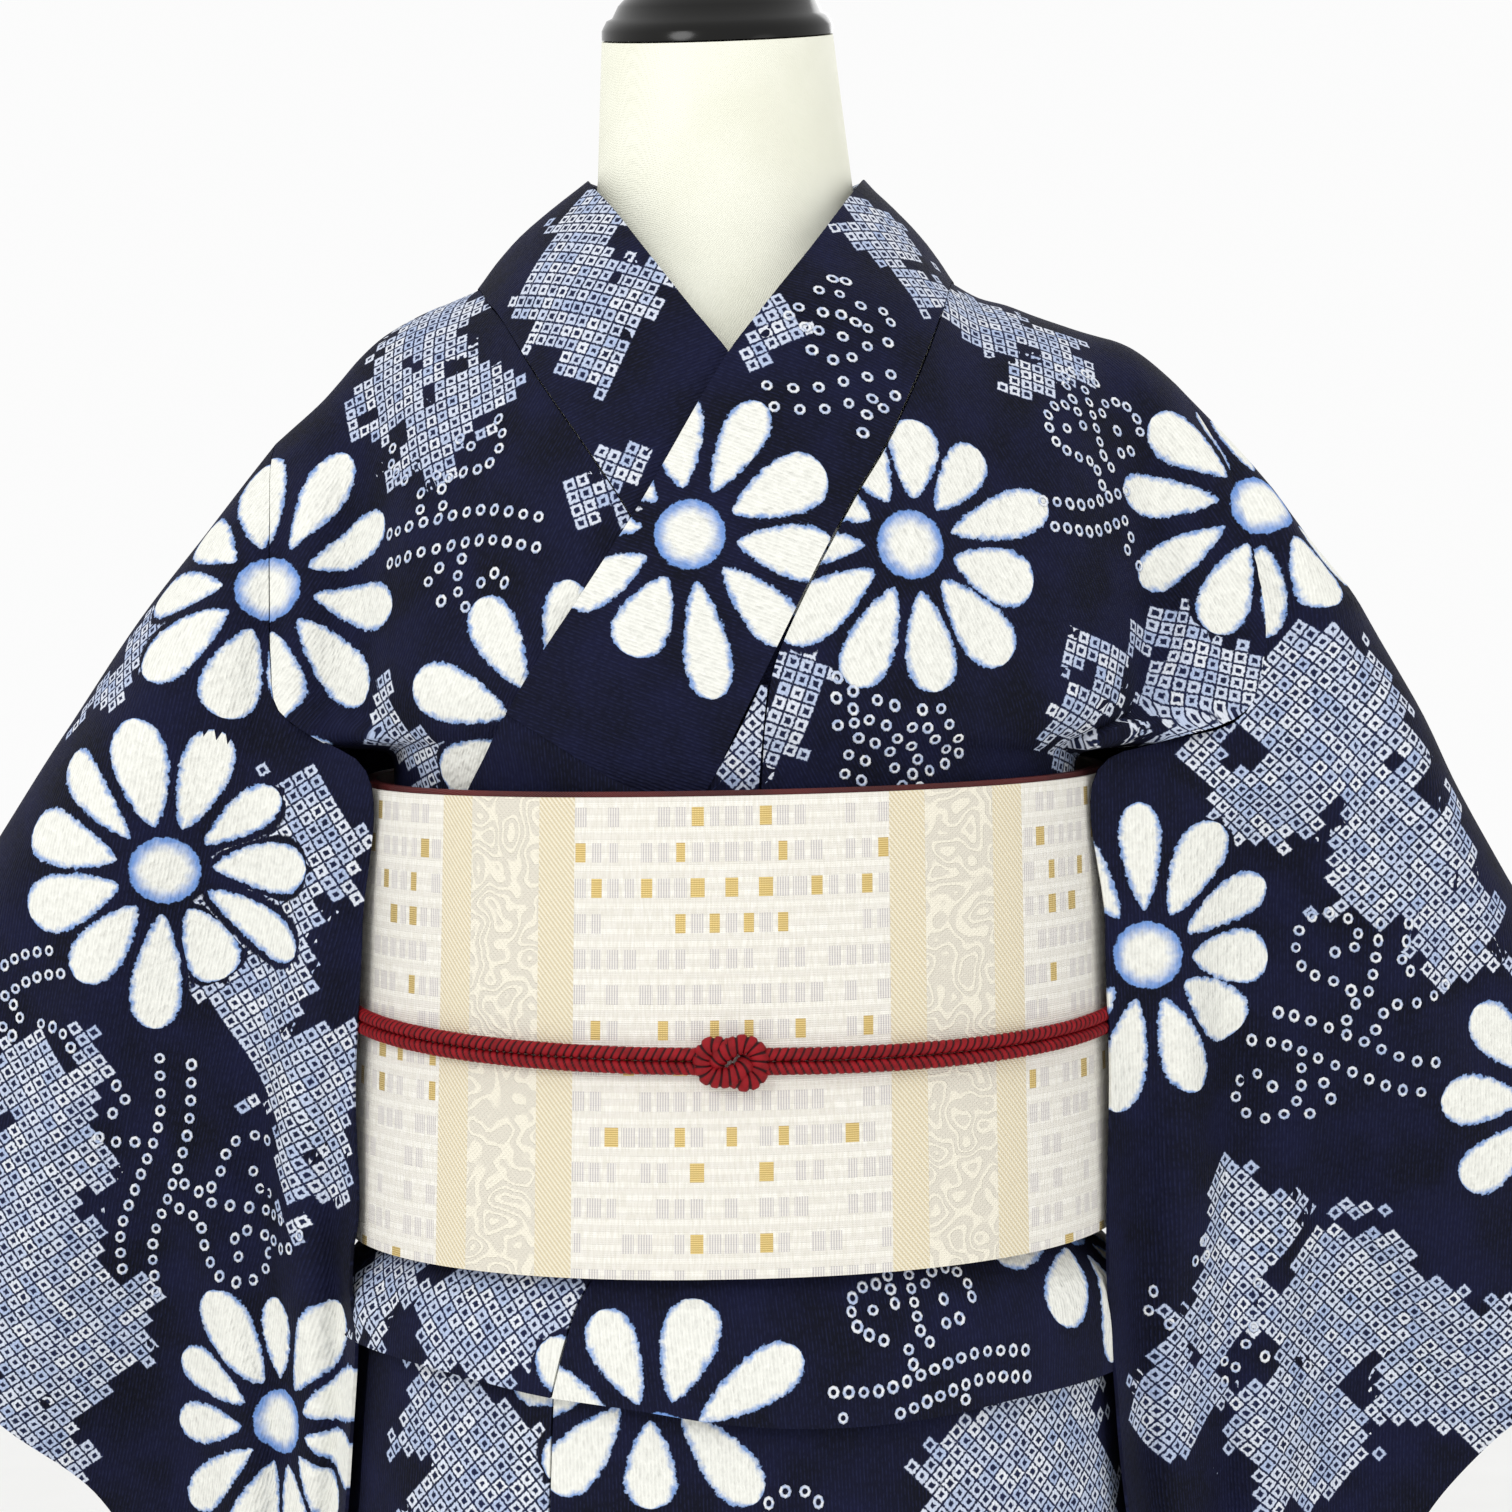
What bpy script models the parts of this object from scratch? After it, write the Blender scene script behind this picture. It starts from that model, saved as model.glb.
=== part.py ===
"""Cotton yukata with its belt, worn by a limbless dress form on a stand.

Metres, +Z up, the front faces -Y and the origin is on the floor under the pole.
-X is the wearer's right: the right front lies under, the left front lies on top.
Every cloth piece is a thin wall on a surface worked out from the sizes below.
"""

import math

import bmesh
import bpy
import numpy as np

# Cloth
COTTON = 0.0012
COLLAR_CLOTH = 0.0024
TUCK_CLOTH = 0.0020
OBI_CLOTH = 0.0024
OBI_UNDER_CLOTH = 0.0042
HAND_CLOTH = 0.0040
SEAM_GAP = 0.0004
EDGE_GAP = 0.0008
ARMHOLE_GAP = 0.0012
LAYER_STEP = 0.0038

# Heights above the floor
HEM_Z = 0.035
SKIRT_TOP_Z = 1.014
BODICE_LOW_Z = 1.018
CHEST_Z = 1.170
NECK_TOP_Z = 1.416
FORM_LOW_Z = 0.700

# Waist, where the belt holds the cloth on the form
WAIST_X = -0.002
WAIST_HALF_WIDTH = 0.1245
WAIST_HALF_DEPTH = 0.0985
WAIST_POWER = 2.2
WAIST_SIDE_ANGLE = math.radians(88)
BODICE_FLAT_SHARE = 0.30
# Rise over which the bodice leaves the waist: above the belt's edge, and beyond its sides
BELT_RELEASE = (0.002, 0.030)
SIDE_RELEASE_X = (0.112, 0.124)
SIDE_RELEASE_Z = (1.1500, 1.1545)
# Share of a bodice half's width over which the over side's lift ends
LIFT_END = (0.75, 0.97)

# Shoulder line seen from the front: x, height of the fold over the shoulder
SHOULDER_LINE = (
    (-0.1700, 1.2655),
    (-0.1525, 1.2820),
    (-0.1366, 1.2996),
    (-0.1133, 1.3141),
    (-0.0955, 1.3215),
    (-0.0777, 1.3337),
    (-0.0553, 1.3615),
    (-0.0300, 1.3800),
    (-0.0060, 1.3860),
    (0.0200, 1.3800),
    (0.0438, 1.3615),
    (0.0649, 1.3407),
    (0.0775, 1.3245),
    (0.0990, 1.3156),
    (0.1275, 1.3060),
    (0.1434, 1.3005),
    (0.1579, 1.2890),
    (0.1738, 1.2730),
    (0.1900, 1.2515),
)
# Depth of the bodice at chest height: distance from the centre, front depth, back depth
BODICE_DEPTH = (
    (0.000, 0.1060, 0.1010),
    (0.030, 0.1045, 0.1005),
    (0.060, 0.0985, 0.0960),
    (0.090, 0.0865, 0.0850),
    (0.115, 0.0720, 0.0700),
    (0.132, 0.0560, 0.0560),
    (0.145, 0.0520, 0.0520),
    (0.165, 0.0510, 0.0510),
    (0.190, 0.0480, 0.0480),
)
# Armhole seam of a bodice half: share of the way up the front, x on the left, x on the right.
# It starts under the arm, just above the belt, runs out and then up to the shoulder line.
BODICE_SIDE = (
    (0.270, 0.1460, 0.1480),
    (0.292, 0.1620, 0.1790),
    (0.360, 0.1650, 0.1850),
    (0.450, 0.1662, 0.1862),
    (0.540, 0.1672, 0.1840),
    (0.630, 0.1680, 0.1795),
    (0.720, 0.1687, 0.1740),
    (0.800, 0.1692, 0.1690),
    (0.870, 0.1696, 0.1643),
    (0.940, 0.1700, 0.1598),
    (1.000, 0.1700, 0.1556),
)
# Shares of the rows of a bodice half at its outer edge, front hem to shoulder to back hem
SIDE_SHARES = (
    0.0, 0.12, 0.20, 0.235, 0.2605, 0.27, 0.292, 0.36, 0.45, 0.54, 0.63, 0.72, 0.80, 0.87, 0.94, 1.0,
    1.07, 1.15, 1.23, 1.32, 1.41, 1.50, 1.58, 1.65, 1.708, 1.73, 1.7395, 1.765, 1.88, 2.0,
)
# Shares of the rows down the centre back seam
CENTRE_SHARES = (1.46, 1.54, 1.62, 1.69, 1.72, 1.7395, 1.765, 1.88, 2.0)
# Columns of a bodice half, closer together by the arm fold
COLUMN_SHARES = (0.0, 0.12, 0.25, 0.38, 0.50, 0.61, 0.70, 0.77, 0.83, 0.885, 0.94, 1.0)
ARMPIT_SHARE = 0.27
# Fold between chest and sleeve: height, x on the left, x on the right, depth of the valley
ARM_FOLD = (
    (1.145, 0.1405, 0.1450, 0.002),
    (1.190, 0.1370, 0.1460, 0.008),
    (1.240, 0.1340, 0.1465, 0.008),
    (1.285, 0.1355, 0.1430, 0.000),
)
ARM_FOLD_WIDTH = 0.011

# Collar on the front: height, inner edge x, outer seam x.
# The over side is the left front's and lies on top; the under side is the right front's.
COLLAR_OVER = (
    (1.0600, -0.1180, -0.0420),
    (1.1000, -0.1050, -0.0290),
    (1.1380, -0.0905, -0.0112),
    (1.1637, -0.0778, 0.0020),
    (1.1950, -0.0572, 0.0172),
    (1.2334, -0.0325, 0.0365),
    (1.2600, -0.0175, 0.0515),
    (1.2861, -0.0028, 0.0622),
    (1.3050, 0.0108, 0.0695),
)
COLLAR_UNDER = (
    (1.0600, 0.0780, 0.0130),
    (1.1000, 0.0700, 0.0060),
    (1.1380, 0.0620, -0.0020),
    (1.1637, 0.0560, -0.0080),
    (1.1950, 0.0480, -0.0180),
    (1.2334, 0.0290, -0.0375),
    (1.2600, 0.0130, -0.0550),
    (1.2861, -0.0028, -0.0725),
    (1.3050, -0.0176, -0.0840),
)
# Collar round the neck, from the front of the left shoulder to the front of the right:
# inner edge x y z, outer seam x and share on the bodice
COLLAR_NECK = (
    (0.0108, -0.0820, 1.3050, 0.0695, 0.729),
    (0.0233, -0.0705, 1.3235, 0.0735, 0.810),
    (0.0352, -0.0500, 1.3425, 0.0765, 0.900),
    (0.0425, -0.0240, 1.3560, 0.0785, 0.985),
    (0.0450, 0.0080, 1.3640, 0.0790, 1.080),
    (0.0455, 0.0370, 1.3690, 0.0765, 1.175),
    (0.0370, 0.0610, 1.3710, 0.0650, 1.265),
    (0.0180, 0.0760, 1.3720, 0.0380, 1.345),
    (-0.0060, 0.0810, 1.3720, -0.0060, 1.381),
    (-0.0300, 0.0760, 1.3720, -0.0510, 1.345),
    (-0.0490, 0.0610, 1.3710, -0.0790, 1.265),
    (-0.0570, 0.0370, 1.3690, -0.0915, 1.175),
    (-0.0560, 0.0080, 1.3640, -0.0960, 1.080),
    (-0.0535, -0.0240, 1.3560, -0.0958, 0.985),
    (-0.0440, -0.0500, 1.3425, -0.0935, 0.900),
    (-0.0310, -0.0705, 1.3235, -0.0890, 0.810),
    (-0.0176, -0.0820, 1.3050, -0.0840, 0.752),
)
CENTRE_ROW = 8
COLLAR_COLUMNS = 5
COLLAR_ROLL = (0.0045, 0.0065)
# Middle heights of the collar's rows: the plain end, then the cover strip
END_KEYS = (1.085, 1.120)
COVER_END_Z = 1.1467
COVER_TOP_Z = 1.3050
COVER_ROWS = 10
COLLAR_SLOPE = 0.45
ARCH_LENGTH = 0.346
NEAR_TIP_SHARE = 0.45
# Seam of the left front's overlap panel above the belt: height, x
TIP_SEAM = ((1.0180, 0.0085), (1.1600, 0.0085), (1.1740, 0.0100), (1.1880, 0.0142), (1.2019, 0.0196))
TIP_LEVELS = (1.0180, 1.0700, 1.1100, 1.1400, 1.1600, 1.1740)

# Belt: tilted down to the front and up to the right
OBI_HEIGHT = 0.160
OBI_TOP_Z = 1.1440
OBI_TILT = 0.065
OBI_ROLL = 0.020
OBI_HALF_WIDTH_TOP = 0.1385
OBI_HALF_WIDTH_LOW = 0.1425
OBI_HALF_DEPTH = 0.1120
OBI_POWER = 2.2
OBI_EDGE_SHOWS = 0.0016

# Cord round the belt
CORD_RADIUS = 0.0021
CORD_Z = 1.0635
CORD_TILT = 0.126
# Cord behind the sides, round the belt's hand end and through the drum: x and y
CORD_BEHIND = (
    (0.1452, 0.0350),
    (0.1470, 0.0750),
    (0.1545, 0.1050),
    (0.1585, 0.1300),
    (0.1520, 0.1530),
    (0.1250, 0.1615),
    (0.0600, 0.1632),
    (0.0000, 0.1635),
)
CORD_BACK_TILT = 0.45
CORD_RINGS = 66
CORD_SIDES = 7
KNOT_X = -0.0002
KNOT_HALF_WIDTH = 0.0115
KNOT_HALF_HEIGHT = 0.0088
KNOT_WAIST = 0.20
KNOT_HOLE = (0.0022, 0.0009)
KNOT_HALF_DEPTH = 0.0027

# Drum of the belt behind, and its tail: y and z of its section
DRUM_HALF_WIDTH = 0.145
DRUM_SECTION = (
    (0.1146, 1.1000),
    (0.1148, 1.1380),
    (0.1250, 1.1610),
    (0.1450, 1.1680),
    (0.1680, 1.1560),
    (0.1860, 1.1200),
    (0.1940, 1.0600),
    (0.1930, 0.9900),
    (0.1860, 0.9300),
    (0.1740, 0.8990),
    (0.1610, 0.8950),
    (0.1500, 0.9100),
    (0.1440, 0.9600),
    (0.1430, 1.0400),
)
DRUM_BOW = 0.10
DRUM_STEPS, TAIL_STEPS, HAND_STEPS = 21, 8, 22
TAIL_SECTION = (
    (0.1148, 1.0993),
    (0.1220, 1.0700),
    (0.1330, 1.0300),
    (0.1365, 0.9600),
    (0.1375, 0.9000),
    (0.1380, 0.8250),
)
TAIL_INSET = 0.003
# Hand end of the belt seen from above, right half: x and y
HAND_PLAN = (
    (0.0000, 0.1575),
    (0.0600, 0.1571),
    (0.1000, 0.1560),
    (0.1250, 0.1545),
    (0.1430, 0.1490),
    (0.1500, 0.1380),
    (0.1515, 0.1300),
)
HAND_Z = 1.0700
HAND_HALF_HEIGHT = 0.0400

# Waist tuck below the belt: way from the left side to the right, height of its lower fold
TUCK_HEM = (
    (0.000, 0.9455),
    (0.106, 0.9448),
    (0.294, 0.9410),
    (0.375, 0.9363),
    (0.442, 0.9334),
    (0.510, 0.9285),
    (0.608, 0.9281),
    (0.700, 0.9319),
    (0.931, 0.9345),
    (1.000, 0.9350),
)
TUCK_BACK_Z = 0.940
TUCK_TOP_Z = 0.996
TUCK_LIFT = 0.0048
TUCK_PUFF = 0.0035
TUCK_ROUND = 0.0008
# Heights of the tuck's rows above its lowest two, the same as the skirt's
TUCK_LEVELS = (0.950, 0.962, 0.98, TUCK_TOP_Z)
# Turns of the seams of tuck and skirt round the body; 0 is the front, a quarter turn the right side
TUCK_OKUMI_TURN = (-0.384, -0.292)
TUCK_SIDE_TURN = -1.21
OKUMI_TURN = -0.40
TURN_STEP = math.pi / 14
OVERLAP_TURN = -5 * TURN_STEP
UNDER_OKUMI_TURNS = (3 * TURN_STEP, 6 * TURN_STEP)
SEAM_TURN = 0.0022
SKIRT_LAYER = 0.0020

# Skirt: height, half width, half depth of its inner layer
SKIRT = (
    (0.035, 0.1350, 0.1040),
    (0.200, 0.1385, 0.1080),
    (0.400, 0.1450, 0.1140),
    (0.600, 0.1490, 0.1175),
    (0.750, 0.1475, 0.1165),
    (0.860, 0.1440, 0.1120),
    (0.920, 0.1400, 0.1065),
    (0.950, 0.1362, 0.1030),
    (0.962, 0.1300, 0.1003),
    (0.980, WAIST_HALF_WIDTH, WAIST_HALF_DEPTH),
    (1.014, WAIST_HALF_WIDTH, WAIST_HALF_DEPTH),
)

SKIRT_LEVELS = (HEM_Z, 0.20, 0.40, 0.60, 0.72, 0.80, 0.86, 0.90, 0.93, 0.950, 0.962, 0.98, SKIRT_TOP_Z)

# Sleeves: share of the way down, x on the left, x on the right and z of the inner edge below the armhole
SLEEVE_INNER = (
    (0.00, 0.1445, 0.1445, 1.1480),
    (0.10, 0.1365, 0.1335, 1.1150),
    (0.30, 0.1352, 0.1318, 1.0400),
    (0.55, 0.1370, 0.1350, 0.9500),
    (0.80, 0.1425, 0.1430, 0.8600),
    (1.00, 0.1520, 0.1520, 0.7720),
)
SLEEVE_BACK_OUT = 0.018
# Cuff edge from the wrist corner down to the rounded lower corner: share, x on the left, x on the right, z
SLEEVE_CUFF = (
    (0.00, 0.3600, 0.3620, 0.9880),
    (0.20, 0.3150, 0.3240, 0.9450),
    (0.38, 0.2744, 0.2870, 0.9080),
    (0.56, 0.2300, 0.2530, 0.8680),
    (0.72, 0.2160, 0.2380, 0.8300),
    (0.88, 0.2100, 0.2290, 0.7880),
    (0.95, 0.2000, 0.2180, 0.7650),
    (1.00, 0.1820, 0.2000, 0.7560),
)
# Fold along the top of each sleeve, from the armhole to the wrist corner: x and z
SLEEVE_TOP_LEFT = (
    (0.1700, 1.2655),
    (0.1973, 1.2280),
    (0.2151, 1.2067),
    (0.2347, 1.1800),
    (0.2740, 1.1178),
    (0.3600, 0.9880),
)
SLEEVE_TOP_RIGHT = (
    (0.1556, 1.2910),
    (0.1738, 1.2730),
    (0.1900, 1.2515),
    (0.2256, 1.2067),
    (0.2738, 1.1178),
    (0.3620, 0.9880),
)
SLEEVE_FREE_ROWS = 7
SLEEVE_RINGS = 11
SLEEVE_DEPTH_LOW = 0.030
SLEEVE_DROP = 0.004
SLEEVE_DEPTH_BODY = 0.055
SLEEVE_DEPTH_CUFF = 0.013
CUFF_OPEN_SHARE = 0.45
CUFF_PINCH = 0.0024
# Large sleeve folds: way out at the top, way out at the bottom, width, depth, how far down it starts
SLEEVE_FOLDS = (
    (0.02, 0.30, 0.050, -0.007, 0.05),
    (0.18, 0.46, 0.060, 0.006, 0.10),
    (0.36, 0.66, 0.070, -0.006, 0.20),
    (0.62, 0.90, 0.080, 0.005, 0.30),
)

# Dress form: height, half width, half depth in front, half depth behind, centre x
FORM = (
    (0.700, 0.0900, 0.0700, 0.0700, -0.002),
    (0.706, 0.1040, 0.0800, 0.0800, -0.002),
    (0.730, 0.1180, 0.0920, 0.0920, -0.002),
    (0.790, 0.1290, 0.1010, 0.1020, -0.002),
    (0.860, 0.1290, 0.1000, 0.1000, -0.002),
    (0.910, 0.1250, 0.0985, 0.0985, -0.002),
    (0.950, 0.1228, 0.0967, 0.0967, -0.002),
    (1.060, 0.1226, 0.0966, 0.0966, -0.002),
    (1.120, 0.1205, 0.0950, 0.0930, -0.002),
    (1.156, 0.1190, 0.0945, 0.0920, -0.001),
    (1.190, 0.1275, 0.0970, 0.0910, 0.000),
    (1.230, 0.1330, 0.0900, 0.0840, 0.001),
    (1.262, 0.1280, 0.0800, 0.0720, 0.001),
    (1.284, 0.1130, 0.0715, 0.0600, 0.001),
    (1.300, 0.0890, 0.0640, 0.0520, -0.001),
    (1.316, 0.0620, 0.0560, 0.0460, -0.004),
    (1.334, 0.0505, 0.0505, 0.0440, -0.005),
    (1.362, 0.0470, 0.0475, 0.0430, -0.0055),
    (1.390, 0.0448, 0.0450, 0.0425, -0.007),
    (1.416, 0.0428, 0.0430, 0.0420, -0.0083),
)
NECK_CENTRE_X = -0.0083
NECK_TILT = math.radians(16)
CAP_RADIUS = 0.0428
CAP_DEPTH_SHARE = 0.96
NECK_ROLL = math.radians(2)
NECK_CUT_Z = 1.370
ROUND_COLUMNS = 28
# Cap on the neck: share of its radius, height above the neck's rim
CAP_PROFILE = (
    (1.00, 0.0006),
    (1.00, 0.0040),
    (0.96, 0.0075),
    (0.91, 0.0085),
    (0.86, 0.0130),
    (0.74, 0.0185),
    (0.55, 0.0220),
    (0.30, 0.0237),
    (0.06, 0.0240),
)
POLE_RADIUS = 0.014
BASE_RADIUS = 0.170
BASE_THICKNESS = 0.012
POLE_FOOT_RADIUS = 0.025
POLE_FOOT_Z = 0.030
PART_GAP = 0.0003

# Colours of the real thing, linear, with roughness
FINISHES = {
    "navy_cotton": ((0.004, 0.005, 0.021), 0.85),
    "white_silk": ((0.860, 0.820, 0.720), 0.55),
    "red_silk": ((0.110, 0.010, 0.010), 0.60),
    "red_cord": ((0.300, 0.008, 0.012), 0.60),
    "cream_form": ((0.880, 0.880, 0.780), 0.60),
    "black_gloss": ((0.008, 0.008, 0.007), 0.12),
    "black_metal": ((0.020, 0.020, 0.020), 0.40),
}


def clear_scene():
    for item in list(bpy.data.objects):
        bpy.data.objects.remove(item, do_unlink=True)


def through(rows, key):
    """Values at a key, on a smooth curve through rows of (key, value, ...)."""
    rows = np.asarray(rows, float)
    keys, values = rows[:, 0], rows[:, 1:]
    slopes = np.gradient(values, keys, axis=0)
    key = float(np.clip(key, keys[0], keys[-1]))
    i = int(np.clip(np.searchsorted(keys, key) - 1, 0, len(keys) - 2))
    step = keys[i + 1] - keys[i]
    t = (key - keys[i]) / step
    a = values[i] * (2 * t**3 - 3 * t**2 + 1) + slopes[i] * step * (t**3 - 2 * t**2 + t)
    b = values[i + 1] * (3 * t**2 - 2 * t**3) + slopes[i + 1] * step * (t**3 - t**2)
    result = a + b
    return result if len(result) > 1 else float(result[0])


def along(points, share):
    """A point at a share of the way along a smooth curve through points."""
    points = np.asarray(points, float)
    lengths = np.linalg.norm(np.diff(points, axis=0), axis=1)
    keys = np.concatenate([[0.0], np.cumsum(lengths)]) / lengths.sum()
    return through(np.column_stack([keys, points]), share)


def ease(value, low, high):
    t = min(1.0, max(0.0, (value - low) / (high - low)))
    return t * t * (3 - 2 * t)


def mix(a, b, share):
    return a + (b - a) * share


def normals_of(grid, ring):
    """Unit normals of a grid of points, from its rows and columns."""
    down = np.gradient(grid, axis=0)
    if ring:
        across = np.roll(grid, -1, axis=1) - np.roll(grid, 1, axis=1)
    else:
        across = np.gradient(grid, axis=1)
    normals = np.cross(across, down)
    lengths = np.linalg.norm(normals, axis=2, keepdims=True)
    return normals / np.maximum(lengths, 1e-12)


def moved_out(grid, distance, ring=False):
    """The grid moved along its normals by one distance or a grid of distances."""
    distance = np.asarray(distance, float)
    if distance.ndim == 2:
        distance = distance[:, :, None]
    return grid + normals_of(grid, ring) * distance


def material(finish):
    existing = bpy.data.materials.get(finish)
    if existing:
        return existing
    colour, roughness = FINISHES[finish]
    made = bpy.data.materials.new(finish)
    made.use_nodes = True
    shader = made.node_tree.nodes["Principled BSDF"]
    shader.inputs["Base Color"].default_value = (*colour, 1.0)
    shader.inputs["Roughness"].default_value = roughness
    return made


def add_solid(name, points, faces, finish):
    """One closed body from points and faces, turned to face out."""
    mesh = bpy.data.meshes.new(name)
    mesh.from_pydata([tuple(p) for p in points], [], faces)
    work = bmesh.new()
    work.from_mesh(mesh)
    bmesh.ops.recalc_face_normals(work, faces=work.faces)
    if work.calc_volume(signed=True) < 0:
        bmesh.ops.reverse_faces(work, faces=work.faces)
    work.to_mesh(mesh)
    work.free()
    mesh.shade_smooth()
    mesh.set_sharp_from_angle(angle=math.radians(50))
    mesh.materials.append(material(finish))
    solid = bpy.data.objects.new(name, mesh)
    bpy.context.scene.collection.objects.link(solid)
    return solid


def add_wall(name, grid, thickness, finish, ring=False):
    """A wall of even thickness on a grid of rows and columns; a ring closes on itself."""
    rows, columns = grid.shape[:2]
    outer = moved_out(grid, thickness / 2, ring)
    inner = moved_out(grid, -thickness / 2, ring)
    points = np.concatenate([outer.reshape(-1, 3), inner.reshape(-1, 3)])
    below = rows * columns
    spans = columns if ring else columns - 1
    faces = []
    for i in range(rows - 1):
        for j in range(spans):
            k = (j + 1) % columns
            a, b, c, d = i * columns + j, i * columns + k, (i + 1) * columns + k, (i + 1) * columns + j
            faces.append((a, b, c, d))
            faces.append((below + d, below + c, below + b, below + a))
    for j in range(spans):
        k = (j + 1) % columns
        last = (rows - 1) * columns
        faces.append((below + j, below + k, k, j))
        faces.append((last + j, last + k, below + last + k, below + last + j))
    if not ring:
        for i in range(rows - 1):
            a, b = i * columns, (i + 1) * columns
            c, d = a + columns - 1, b + columns - 1
            faces.append((a, b, below + b, below + a))
            faces.append((below + c, below + d, d, c))
    return add_solid(name, points, faces, finish)


def add_loft(name, rings, finish):
    """A solid through rings of points, closed with flat ends."""
    rows, columns = rings.shape[:2]
    faces = []
    for i in range(rows - 1):
        for j in range(columns):
            k = (j + 1) % columns
            faces.append((i * columns + j, i * columns + k, (i + 1) * columns + k, (i + 1) * columns + j))
    faces.append(tuple(range(columns)))
    faces.append(tuple((rows - 1) * columns + j for j in reversed(range(columns))))
    return add_solid(name, rings.reshape(-1, 3), faces, finish)


def oval_point(angle, half_width, half_depth, power):
    """A point of a rounded oval; angle 0 is the front, a quarter turn is the right side."""
    s, c = math.sin(angle), math.cos(angle)
    x = half_width * math.copysign(abs(s) ** (2 / power), s)
    y = -half_depth * math.copysign(abs(c) ** (2 / power), c)
    return x, y


def waist_depth(x):
    share = min(1.0, abs(x - WAIST_X) / WAIST_HALF_WIDTH)
    return WAIST_HALF_DEPTH * (1 - share**WAIST_POWER) ** (1 / WAIST_POWER)


def bodice_point(x, share):
    """The bodice's inner surface: share 0 is its front edge, 1 the shoulder, 2 its back edge."""
    front = share <= 1
    way = share if front else 2 - share
    top = through(SHOULDER_LINE, x)
    depth = through(BODICE_DEPTH, abs(x))[0 if front else 1]
    if way < BODICE_FLAT_SHARE:
        z = mix(BODICE_LOW_Z, CHEST_Z, way / BODICE_FLAT_SHARE)
    else:
        turn = (way - BODICE_FLAT_SHARE) / (1 - BODICE_FLAT_SHARE) * math.pi / 2
        z = mix(CHEST_Z, top, math.sin(turn))
        depth *= math.cos(turn)
    waist = waist_depth(x)
    belt_top = OBI_TOP_Z + x * OBI_ROLL + (-waist if front else waist) * OBI_TILT
    over_belt = ease(z, belt_top + BELT_RELEASE[0], belt_top + BELT_RELEASE[1])
    beyond = ease(abs(x - WAIST_X), *SIDE_RELEASE_X) * ease(z, *SIDE_RELEASE_Z)
    depth = mix(waist, depth, max(over_belt, beyond))
    fold_left, fold_right, fold_depth = through(ARM_FOLD, z)
    fold_x = fold_right if x > 0 else fold_left
    valley = fold_depth * math.exp(-(((abs(x) - fold_x) / ARM_FOLD_WIDTH) ** 2))
    depth -= min(valley, 0.6 * depth)
    return np.array([x, -depth if front else depth, z])


def share_of_height(x, z):
    """How far up the front the bodice reaches a height."""
    if z < CHEST_Z:
        return BODICE_FLAT_SHARE * (z - BODICE_LOW_Z) / (CHEST_Z - BODICE_LOW_Z)
    rise = min(1.0, (z - CHEST_Z) / (through(SHOULDER_LINE, x) - CHEST_Z))
    return BODICE_FLAT_SHARE + (1 - BODICE_FLAT_SHARE) * math.asin(rise) / (math.pi / 2)


def chest_point(x, z):
    return bodice_point(x, share_of_height(x, z))


def over_lift(share):
    """How far the left front is lifted off the right at a share of the way up."""
    return LAYER_STEP * (1 - ease(share, 0.55, 0.95))


def front_station(table, key):
    """One row of the collar on the front: inner edge x and z, outer seam x and z."""
    inner, outer = through(table, key)
    drop = COLLAR_SLOPE * (1 - ease(key, 1.270, COVER_TOP_Z)) * abs(outer - inner) / 2
    return through(table, key + drop)[0], key + drop, through(table, key - drop)[1], key - drop


def cover_keys():
    return [mix(COVER_END_Z, COVER_TOP_Z, i / (COVER_ROWS - 1)) for i in range(COVER_ROWS)]


def collar_seam(side):
    """Points (x, share) of the collar's outer seam on one half, past the centre back."""
    table = COLLAR_OVER if side > 0 else COLLAR_UNDER
    points = []
    for key in list(END_KEYS) + cover_keys():
        x, z = front_station(table, key)[2:]
        points.append((x, share_of_height(x, z)))
    neck = COLLAR_NECK if side > 0 else COLLAR_NECK[::-1]
    points += [row[3:] for row in neck[1 : CENTRE_ROW + 2]]
    return np.array(points)


def bodice_inner_edge(side):
    """Points (x, share) of a bodice half along collar and centre back, a gap off the seam."""
    seam = collar_seam(side)
    centre = side * COLLAR_NECK[CENTRE_ROW][3]
    flat = np.column_stack([side * seam[:, 0], seam[:, 1] * ARCH_LENGTH])
    ahead = np.gradient(flat, axis=0)
    ahead /= np.linalg.norm(ahead, axis=1, keepdims=True)
    flat += np.column_stack([ahead[:, 1], -ahead[:, 0]]) * EDGE_GAP
    points = []
    for u, length in flat[:-1]:
        share = length / ARCH_LENGTH
        if side > 0 and share < NEAR_TIP_SHARE:
            z = bodice_point(u, share)[2]
            u = max(u, through(TIP_SEAM, z) + EDGE_GAP) if z < TIP_SEAM[-1][0] else u
        points.append((max(u, centre + SEAM_GAP / 2), share))
    points.insert(0, (points[0][0], 0.0))
    points += [(centre + SEAM_GAP / 2, share) for share in CENTRE_SHARES]
    return [(side * u, share) for u, share in points]


def side_x(side, way):
    """Where a bodice half ends at the side: by the waist's oval, or at the armhole seam."""
    if way < ARMPIT_SHARE:
        return waist_x(side * WAIST_SIDE_ANGLE)
    left_x, right_x = through(BODICE_SIDE, way)
    return right_x if side > 0 else -left_x


def waist_x(angle):
    return oval_point(angle, WAIST_HALF_WIDTH, WAIST_HALF_DEPTH, WAIST_POWER)[0] + WAIST_X


def waist_angle(x):
    """Turn round the waist's oval at which it has a given x."""
    reach = min(1.0, abs(x - WAIST_X) / WAIST_HALF_WIDTH)
    return math.copysign(math.asin(reach ** (WAIST_POWER / 2)), x - WAIST_X)


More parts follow.
